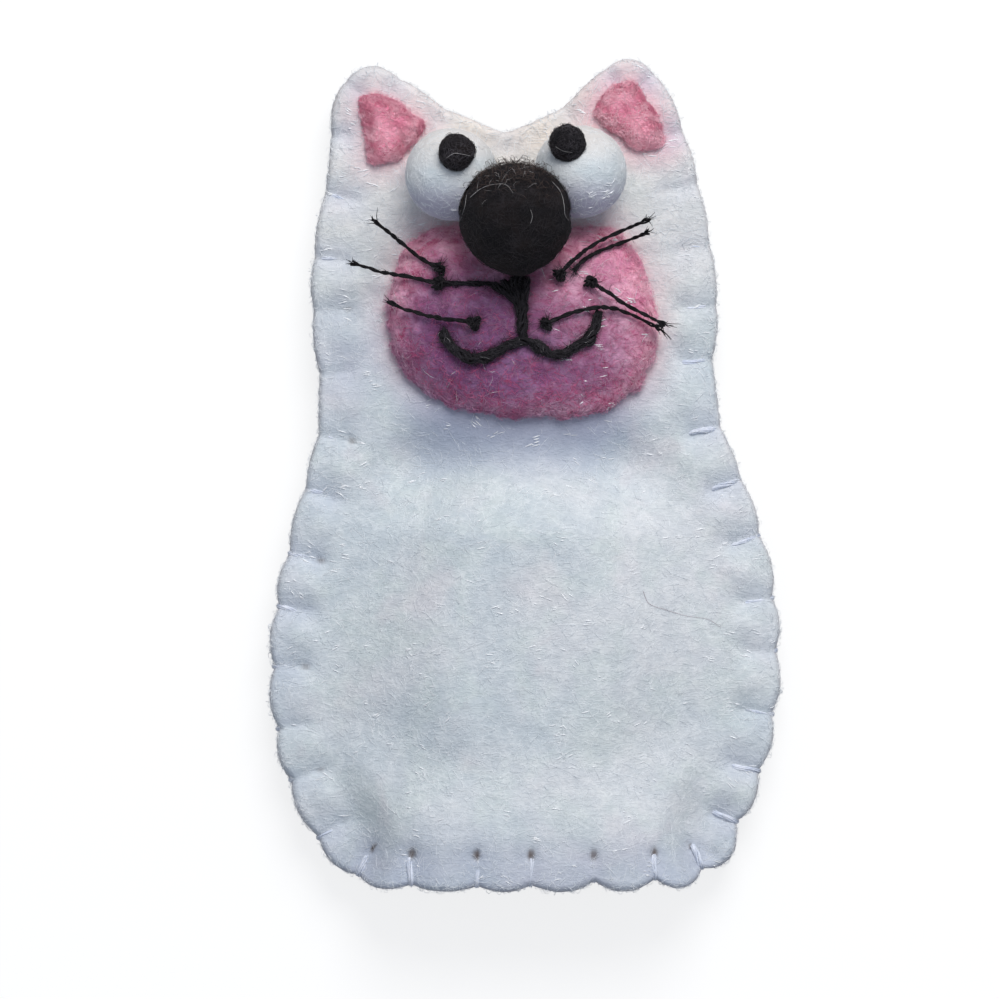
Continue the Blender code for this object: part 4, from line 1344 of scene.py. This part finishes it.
def add_face(puppet, finishes):
    """The muzzle, the ears' linings, the nose, the eyes and the pupils."""
    muzzle, muzzle_edge = face_patch(
        "muzzle_felt", MUZZLE, MUZZLE_VOXEL, MUZZLE_FELT, puppet.muzzle_under, finishes["muzzle"],
        lambda spots: muzzle_crown(spots) - thread_dip(spots),
        swell=0.0011, run=0.0034, relief=0.00030, ragged=0.00042,
    )
    carry(muzzle, "pink_felt", "muzzle_patch")
    patches = {"muzzle": (muzzle, muzzle_edge)}
    for side, outline in LININGS.items():
        lining, edge = face_patch(
            f"{side}_ear_felt", outline, LINING_VOXEL, LINING_FELT, puppet.muzzle_under,
            finishes["ear"], lining_crown(outline),
            swell=0.00045, run=0.0014, relief=0.00012, ragged=0.00030,
        )
        carry(lining, "pink_felt", f"{side}_ear_lining")
        patches[side] = (lining, edge)
    nose_seat = puppet.muzzle_top([NOSE])[0]
    nose_middle = Vector((*NOSE, nose_seat + SEAT_GAP + NOSE_RADIUS - NOSE_PRESS))
    nose = felt_ball(
        "nose_wool", nose_middle, NOSE_RADIUS, puppet.muzzle_top, [], finishes["black"],
        relief=0.00022, seed=11.0, facets=0.0007,
    )
    carry(nose, "black_felt", "nose_ball")
    balls = {"nose": nose}
    for side, (x, y) in EYES.items():
        seat = puppet.front_top([(x, y)])[0]
        middle = Vector((x, y, seat + SEAT_GAP + EYE_RADIUS - EYE_PRESS))
        across, along = PUPILS[side]
        out = EYE_RADIUS + PUPIL_OUT
        bead = middle + Vector((across, along, math.sqrt(out**2 - across**2 - along**2)))
        dents = [(nose_middle, NOSE_RADIUS + 0.0001), (bead, PUPIL_RADIUS + 0.00005)]
        eye = felt_ball(
            f"{side}_eye_wool", middle, EYE_RADIUS, puppet.front_top, dents, finishes["wool"],
            relief=0.00007, seed=21.0 + x * 100,
        )
        pupil = felt_ball(
            f"{side}_pupil_wool", bead, PUPIL_RADIUS, puppet.front_top, [], finishes["black"],
            relief=0.00012, seed=31.0 + x * 100, facets=0.00035, divisions=BEAD_DIVISIONS,
        )
        carry(eye, "white_felt", f"{side}_eye_ball")
        carry(pupil, "black_felt", f"{side}_pupil")
        balls[f"{side}_eye"], balls[f"{side}_pupil"] = eye, pupil
    return patches, balls


def add_mouth(puppet, finish):
    """The black threads that are sewn on the muzzle, each pressed into the felt."""
    made = []
    for name, node, points, diameter, plies in (
        ("philtrum_yarn", "philtrum_stitch", [*PHILTRUM[:3], *PHILTRUM_FOOT], MOUTH_THREAD, 11),
        ("smile_yarn", "smile_stitch", SMILE, MOUTH_THREAD, 11),
        ("cheek_yarn", "cheek_stitch", [CHEEK_START, *CHEEK], CHEEK_THREAD * 1.1, 3),
    ):
        line = even_line(on_muzzle(puppet, points, diameter, sunk=THREAD_DIP + 0.00010), 0.0002)
        ends = np.linspace(-1, 1, len(line))
        line[:, 2] -= 0.0005 * np.abs(ends) ** 16
        strands = twisted(
            line, plies, diameter * 1.12, turn=0.0075, seed=3, wander=diameter * 0.27, slack=0.16,
        )
        hairs = 44 * len(line) // 40
        strands += loose_hairs(line, diameter * 0.45, hairs, reach=0.0011, seed=3)
        if name == "philtrum_yarn":
            for number, fan in enumerate(LIP_FAN):
                bundle = even_line(on_muzzle(puppet, fan, diameter=0.0008, sunk=0.0002), 0.00025)
                strands += twisted(
                    bundle, plies=4, width=0.0009, turn=0.0060, seed=number, wander=0.00015,
                )
        piece = spline_piece(name, strands, diameter * (0.27 if plies > 3 else 0.50), finish, 1)
        made.append(carry(piece, "black_thread", node))
    return made


def add_whiskers(puppet, finish):
    """The whiskers, each with a knot at the muzzle and a frayed end."""
    for number, (name, points) in enumerate(WHISKERS.items()):
        line = even_line(on_muzzle(puppet, points, WHISKER_THREAD, sunk=0.0001), 0.00018)
        strands = twisted(
            line, plies=2, width=WHISKER_THREAD * 0.56, turn=0.0027, seed=number, wander=0.00009,
            taper=0.80, spread=2.0,
        )
        strands += frayed_end(line, hairs=9, reach=0.0015, spread=0.34, seed=number)
        strands += loose_hairs(line, WHISKER_THREAD * 0.3, hairs=8, reach=0.0009, seed=number)
        middle = on_muzzle(puppet, points[:1], KNOT, sunk=0.0003)[0]
        if name != "right_upper_whisker_2":
            for turn in range(3):
                strands.append(knot_lines(middle, KNOT * (0.64 - 0.10 * turn), number + 10 * turn))
            root = np.array([middle, middle + 0.0001])
            strands += loose_hairs(root, KNOT * 0.50, hairs=16, reach=0.0007, seed=number)
        piece_name = name.replace("whisker", "whisker_thread")
        piece = spline_piece(piece_name, strands, WHISKER_THREAD * 0.48, finish, 1)
        carry(piece, "black_thread", name)


def add_knot_fuzz(puppet, finish):
    """Fine grey wisps round the knots of the whiskers."""
    strands = []
    for number, points in enumerate(WHISKERS.values()):
        middle = on_muzzle(puppet, points[:1], KNOT, sunk=0.0002)[0]
        root = np.array([middle, middle + 0.0002])
        strands += loose_hairs(root, KNOT * 0.42, hairs=46, reach=0.0008, seed=70 + number)
    carry(spline_piece("knot_fuzz", strands, WHISKER_THREAD * 0.5, finish), "black_thread")


def add_hair(name, surfaces, lines, finish, width, above):
    """Single stray hairs that lie where the camera sees them, on whatever carries them."""
    strands = []
    for points in lines:
        flat = even_line([(x * MM, y * MM, 0.0) for x, y in points], 0.0003)
        laid = np.array([drop(surfaces, x, y, above) for x, y, _ in flat])
        for _ in range(4):
            laid[1:-1, 2] = np.maximum(laid[1:-1, 2], (laid[:-2, 2] + laid[2:, 2]) / 2)
        strands.append((laid, np.linspace(1.0, 0.6, len(laid))))
    carry(spline_piece(name, strands, width, finish), "white_felt")


def add_glints(front, muzzle, balls, finish):
    """The glossy fibres of the front panel, the lit side of the muzzle and a spot on each eye."""

    def lit_side(spot):
        return spot.x > 0.001 + 0.5 * abs(spot.y - 0.018)

    made = {
        "front_glints": carry(
            grow_glints("front_glints", front, finish, clusters=270, seed=41), "white_felt",
        ),
        "muzzle_glints": carry(
            grow_glints("muzzle_glints", muzzle, finish, clusters=34, seed=42, where=lit_side),
            "pink_felt",
        ),
    }
    for side, (x, y, reach, clusters) in EYE_GLINTS.items():
        def lit_spot(spot, x=x, y=y, reach=reach):
            return math.hypot(spot.x - x, spot.y - y) < reach

        name = f"{side}_eye_glints"
        eye = balls[f"{side}_eye"]
        glints = grow_glints(name, eye, finish, clusters, seed=43, width=EYE_GLINT, where=lit_spot)
        made[name] = carry(glints, "white_felt")
    return made


def add_fibres(puppet, front, back, stitches, mouth, patches, balls, finishes):
    """Loose fibres over all the felt and threads. The weights say where each set grows."""

    def upper(centres, normals):
        return np.clip(normals[:, 2] + 0.15, 0.0, 1.0)

    def open_face(centres, normals):
        return upper(centres, normals) * (1 - 0.85 * chin(centres))

    def lower_half(centres, normals):
        return upper(centres, normals) * (1.0 - 0.75 * ease(centres[:, 1], 0.0080, 0.0180))

    def rim(centres, normals):
        _, depth = puppet.edge.nearest(centres[:, :2])
        return (1 - ease(depth, 0.0004, 0.0016)) * (normals[:, 2] > -0.6)

    def patch_rim(edge):
        def near(centres, normals):
            _, depth = edge.nearest(centres[:, :2])
            return (1 - ease(depth, 0.0003, 0.0012)) * (normals[:, 2] > -0.2)

        return near

    def round_side(centres, normals):
        return np.clip(normals[:, 2] + 0.4, 0.05, 1.0)

    def top_edge(centres, normals):
        return np.clip(normals[:, 1] * 1.4 - 0.5, 0.0, 1.0) * (normals[:, 2] > -0.1)

    white, pink, black = "white_felt", "pink_felt", "black_felt"
    muzzle, muzzle_edge = patches["muzzle"]
    muzzle_rim = patch_rim(muzzle_edge)
    nose = balls["nose"]
    philtrum, smile, cheek = mouth
    long, medium, short = (0.0010, 0.0030), (0.0006, 0.0018), (0.0005, 0.0013)
    fine, plain = (0.00002, 0.00004), (0.00003, 0.00005)
    flat, lying, raised = (0.00001, 0.00018), (0.00003, 0.00030), (0.00012, 0.00055)
    sets = [
        ("front_fibres_1", front, "loose white fibre", white, 4600, long, fine, flat, open_face),
        ("front_fibres_2", front, "loose white fibre", white, 4600, medium, fine, flat, open_face),
        ("rim_fibres", front, "loose white fibre", white, 2600, short, plain, raised, rim),
        ("back_fibres", back, "loose white fibre", white, 1800, short, plain, lying, rim),
        ("seam_fibres", stitches[0], "loose white fibre", white, 2600, medium, fine, lying, upper),
        ("hem_fibres", stitches[2], "loose white fibre", white, 700, medium, fine, lying, upper),
        ("muzzle_fibres", muzzle, "loose pink fibre", pink, 6500, medium, fine, lying, upper),
        ("muzzle_rim_fibres", muzzle, "loose pink fibre", pink, 3400, medium, plain, raised, muzzle_rim),
        ("muzzle_pale_fibres", muzzle, "loose white fibre", white, 52, long, fine, lying, upper),
        ("nose_fibres", nose, "loose black fibre", black, 1500, long, plain, lying, round_side),
        ("nose_tuft", nose, "brown tuft", black, 420, medium, plain, (0.0003, 0.0012), top_edge),
        ("nose_pale_tuft", nose, "pale hair", black, 46, medium, fine, (0.0002, 0.0009), top_edge),
        ("mouth_fuzz_1", philtrum, "dark grey fibre", black, 420, medium, fine, raised, upper),
        ("mouth_fuzz_2", smile, "dark grey fibre", black, 1100, medium, fine, raised, upper),
        ("mouth_fuzz_3", cheek, "dark grey fibre", black, 80, medium, fine, raised, upper),
        ("mouth_pale_fuzz", smile, "pale hair", black, 46, medium, fine, lying, upper),
        ("muzzle_dark_fibres", muzzle, "crimson fibre", pink, 1500, medium, plain, lying, lower_half),
    ]
    for side in LININGS:
        lining, edge = patches[side]
        ear_rim = patch_rim(edge)
        pupil, eye = balls[f"{side}_pupil"], balls[f"{side}_eye"]
        sets += [
            (f"{side}_ear_fibres", lining, "loose ear fibre", pink, 700, medium, plain, lying, upper),
            (
                f"{side}_ear_rim_fibres", lining, "loose ear fibre", pink, 1400, medium, plain,
                raised, ear_rim,
            ),
            (
                f"{side}_pupil_fibres", pupil, "dark grey fibre", black, 480, short, plain,
                lying, round_side,
            ),
            (f"{side}_eye_fibres", eye, "loose white fibre", white, 600, medium, fine, flat, round_side),
        ]

    made = add_glints(front, muzzle, balls, finishes["glinting fibre"])
    for seed, (name, piece, finish, slot, count, length, width, rise, weight) in enumerate(sets, start=1):
        hairs = grow_fibres(name, piece, finishes[finish], count, length, width, rise, seed, weight)
        # the pink fibres get the same painted shade as the muzzle
        if finish == "loose pink fibre":
            paint(hairs.data, "shade", painted_muzzle_shade(points_of(hairs.data)))
        made[name] = carry(hairs, slot)
    return made


# The room


def looked_at(tree):
    """1 where the camera, a reflection or something clear looks straight at the surface."""
    seen = tree.nodes.new("ShaderNodeLightPath")
    direct = sums(tree, "MAXIMUM", seen.outputs["Is Camera Ray"], seen.outputs["Is Glossy Ray"])
    return sums(tree, "MAXIMUM", direct, seen.outputs["Is Transmission Ray"])


def floor_finish():
    """Plain and pale, and white to the camera, with the puppet's shadow kept."""
    material = bpy.data.materials.new("pale floor")
    material.use_nodes = True
    tree = material.node_tree
    tree.nodes.clear()
    surface = tree.nodes.new("ShaderNodeBsdfDiffuse")
    surface.inputs["Color"].default_value = (*FLOOR_TONE, 1.0)
    light = tree.nodes.new("ShaderNodeEmission")
    link(tree, sums(tree, "MULTIPLY", looked_at(tree), FLOOR_GLOW), light.inputs["Strength"])
    both = tree.nodes.new("ShaderNodeAddShader")
    link(tree, surface.outputs[0], both.inputs[0])
    link(tree, light.outputs[0], both.inputs[1])
    link(tree, both.outputs[0], tree.nodes.new("ShaderNodeOutputMaterial").inputs["Surface"])
    return material


def add_floor():
    """The plain floor that the puppet lies on."""
    shape = bmesh.new()
    bmesh.ops.create_grid(shape, x_segments=1, y_segments=1, size=FLOOR_SIZE)
    mesh = bpy.data.meshes.new("floor")
    shape.to_mesh(mesh)
    shape.free()
    floor = new_piece("floor", mesh, floor_finish())


def add_light():
    """A soft bluish room, white where it is looked at, and a round window towards the ears."""
    world = bpy.data.worlds.new("room")
    bpy.context.scene.world = world
    world.use_nodes = True
    tree = world.node_tree
    tree.nodes.clear()
    soft = tree.nodes.new("ShaderNodeBackground")
    soft.inputs["Color"].default_value = (*ROOM_TONE, 1.0)
    soft.inputs["Strength"].default_value = ROOM_LIGHT
    plain = tree.nodes.new("ShaderNodeBackground")
    plain.inputs["Color"].default_value = (1.0, 1.0, 1.0, 1.0)
    plain.inputs["Strength"].default_value = 1.0
    both = tree.nodes.new("ShaderNodeMixShader")
    link(tree, looked_at(tree), both.inputs[0])
    link(tree, soft.outputs[0], both.inputs[1])
    link(tree, plain.outputs[0], both.inputs[2])
    link(tree, both.outputs[0], tree.nodes.new("ShaderNodeOutputWorld").inputs["Surface"])
    lamp = bpy.data.lights.new("window", "AREA")
    lamp.shape = "DISK"
    lamp.size = WINDOW_SIZE
    lamp.energy = WINDOW_LIGHT
    lamp.color = WINDOW_TONE
    window = bpy.data.objects.new("window", lamp)
    window.rotation_mode = "QUATERNION"
    towards = Vector(WINDOW_WAY).normalized()
    window.location = towards * WINDOW_AWAY
    window.rotation_quaternion = towards.to_track_quat("Z", "Y")
    bpy.context.scene.collection.objects.link(window)


def add_camera():
    """Straight above, far off with a long lens, so that the felt fills the frame as in the photo."""
    data = bpy.data.cameras.new("camera")
    data.sensor_width = SENSOR
    data.lens = SENSOR * (CAMERA_HEIGHT - FELT_LEVEL) / FRAME_WIDTH
    data.clip_start, data.clip_end = 0.1, 20.0
    camera = bpy.data.objects.new("camera", data)
    camera.location = (*FRAME_MIDDLE, CAMERA_HEIGHT)
    bpy.context.scene.collection.objects.link(camera)
    bpy.context.scene.camera = camera
    bpy.context.scene.view_settings.view_transform = "Standard"


def make_finishes():
    """Every material."""
    fibres = matted_fibres()
    made = {
        "felt": white_felt(fibres),
        "muzzle": pink_felt(
            fibres, "muzzle felt", light=(0.95, 0.50, 0.63), deep=(0.70, 0.26, 0.40),
            dark=(0.50, 0.06, 0.16), shaded=(0.29, 0.245, 0.42),
        ),
        "ear": pink_felt(
            fibres, "ear felt", light=(0.92, 0.43, 0.53), deep=(0.74, 0.24, 0.35),
            dark=(0.52, 0.08, 0.16), shaded=(1.0, 1.0, 1.0),
        ),
        "wool": wool_ball(fibres),
        "black": black_felt(fibres),
    }
    for name, values in THREADS.items():
        made[name] = thread_finish(name, *values)
    return made


def add_stray_hairs(front, balls, finishes):
    """The pale hairs over the nose and the pupils, and the brown one on the body."""
    pale, brown = finishes["pale hair"], finishes["brown hair"]
    near_nose = [surface_of(balls[name]) for name in ("nose", "left_eye", "right_eye")]
    add_hair("nose_hairs", near_nose, NOSE_HAIRS, pale, width=0.00006, above=0.00012)
    near_pupils = [surface_of(balls["left_pupil"]), surface_of(balls["right_pupil"]), *near_nose]
    add_hair("pupil_hairs", near_pupils, PUPIL_HAIRS, pale, width=0.00005, above=0.00010)
    add_hair("brown_hair", [surface_of(front)], [BROWN_HAIR], brown, width=0.00004, above=0.00006)


def build():
    """The whole scene."""
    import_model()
    puppet = Puppet()
    finishes = make_finishes()
    front, back = add_panels(puppet, finishes["felt"])
    stitches = add_overcasting(puppet, finishes["white thread"])
    patches, balls = add_face(puppet, finishes)
    mouth = add_mouth(puppet, finishes["mouth thread"])
    add_whiskers(puppet, finishes["black thread"])
    add_knot_fuzz(puppet, finishes["dark grey fibre"])
    hairs = add_fibres(puppet, front, back, stitches, mouth, patches, balls, finishes)
    add_stray_hairs(front, balls, finishes)
    edge = puppet.edge
    edge.size()
    edge.area()
    edge.size()
    edge.area()
    muzzle, muzzle_edge = patches["muzzle"]
    muzzle_edge.size()
    muzzle_edge.area()
    add_floor()
    add_light()
    add_camera()


build()
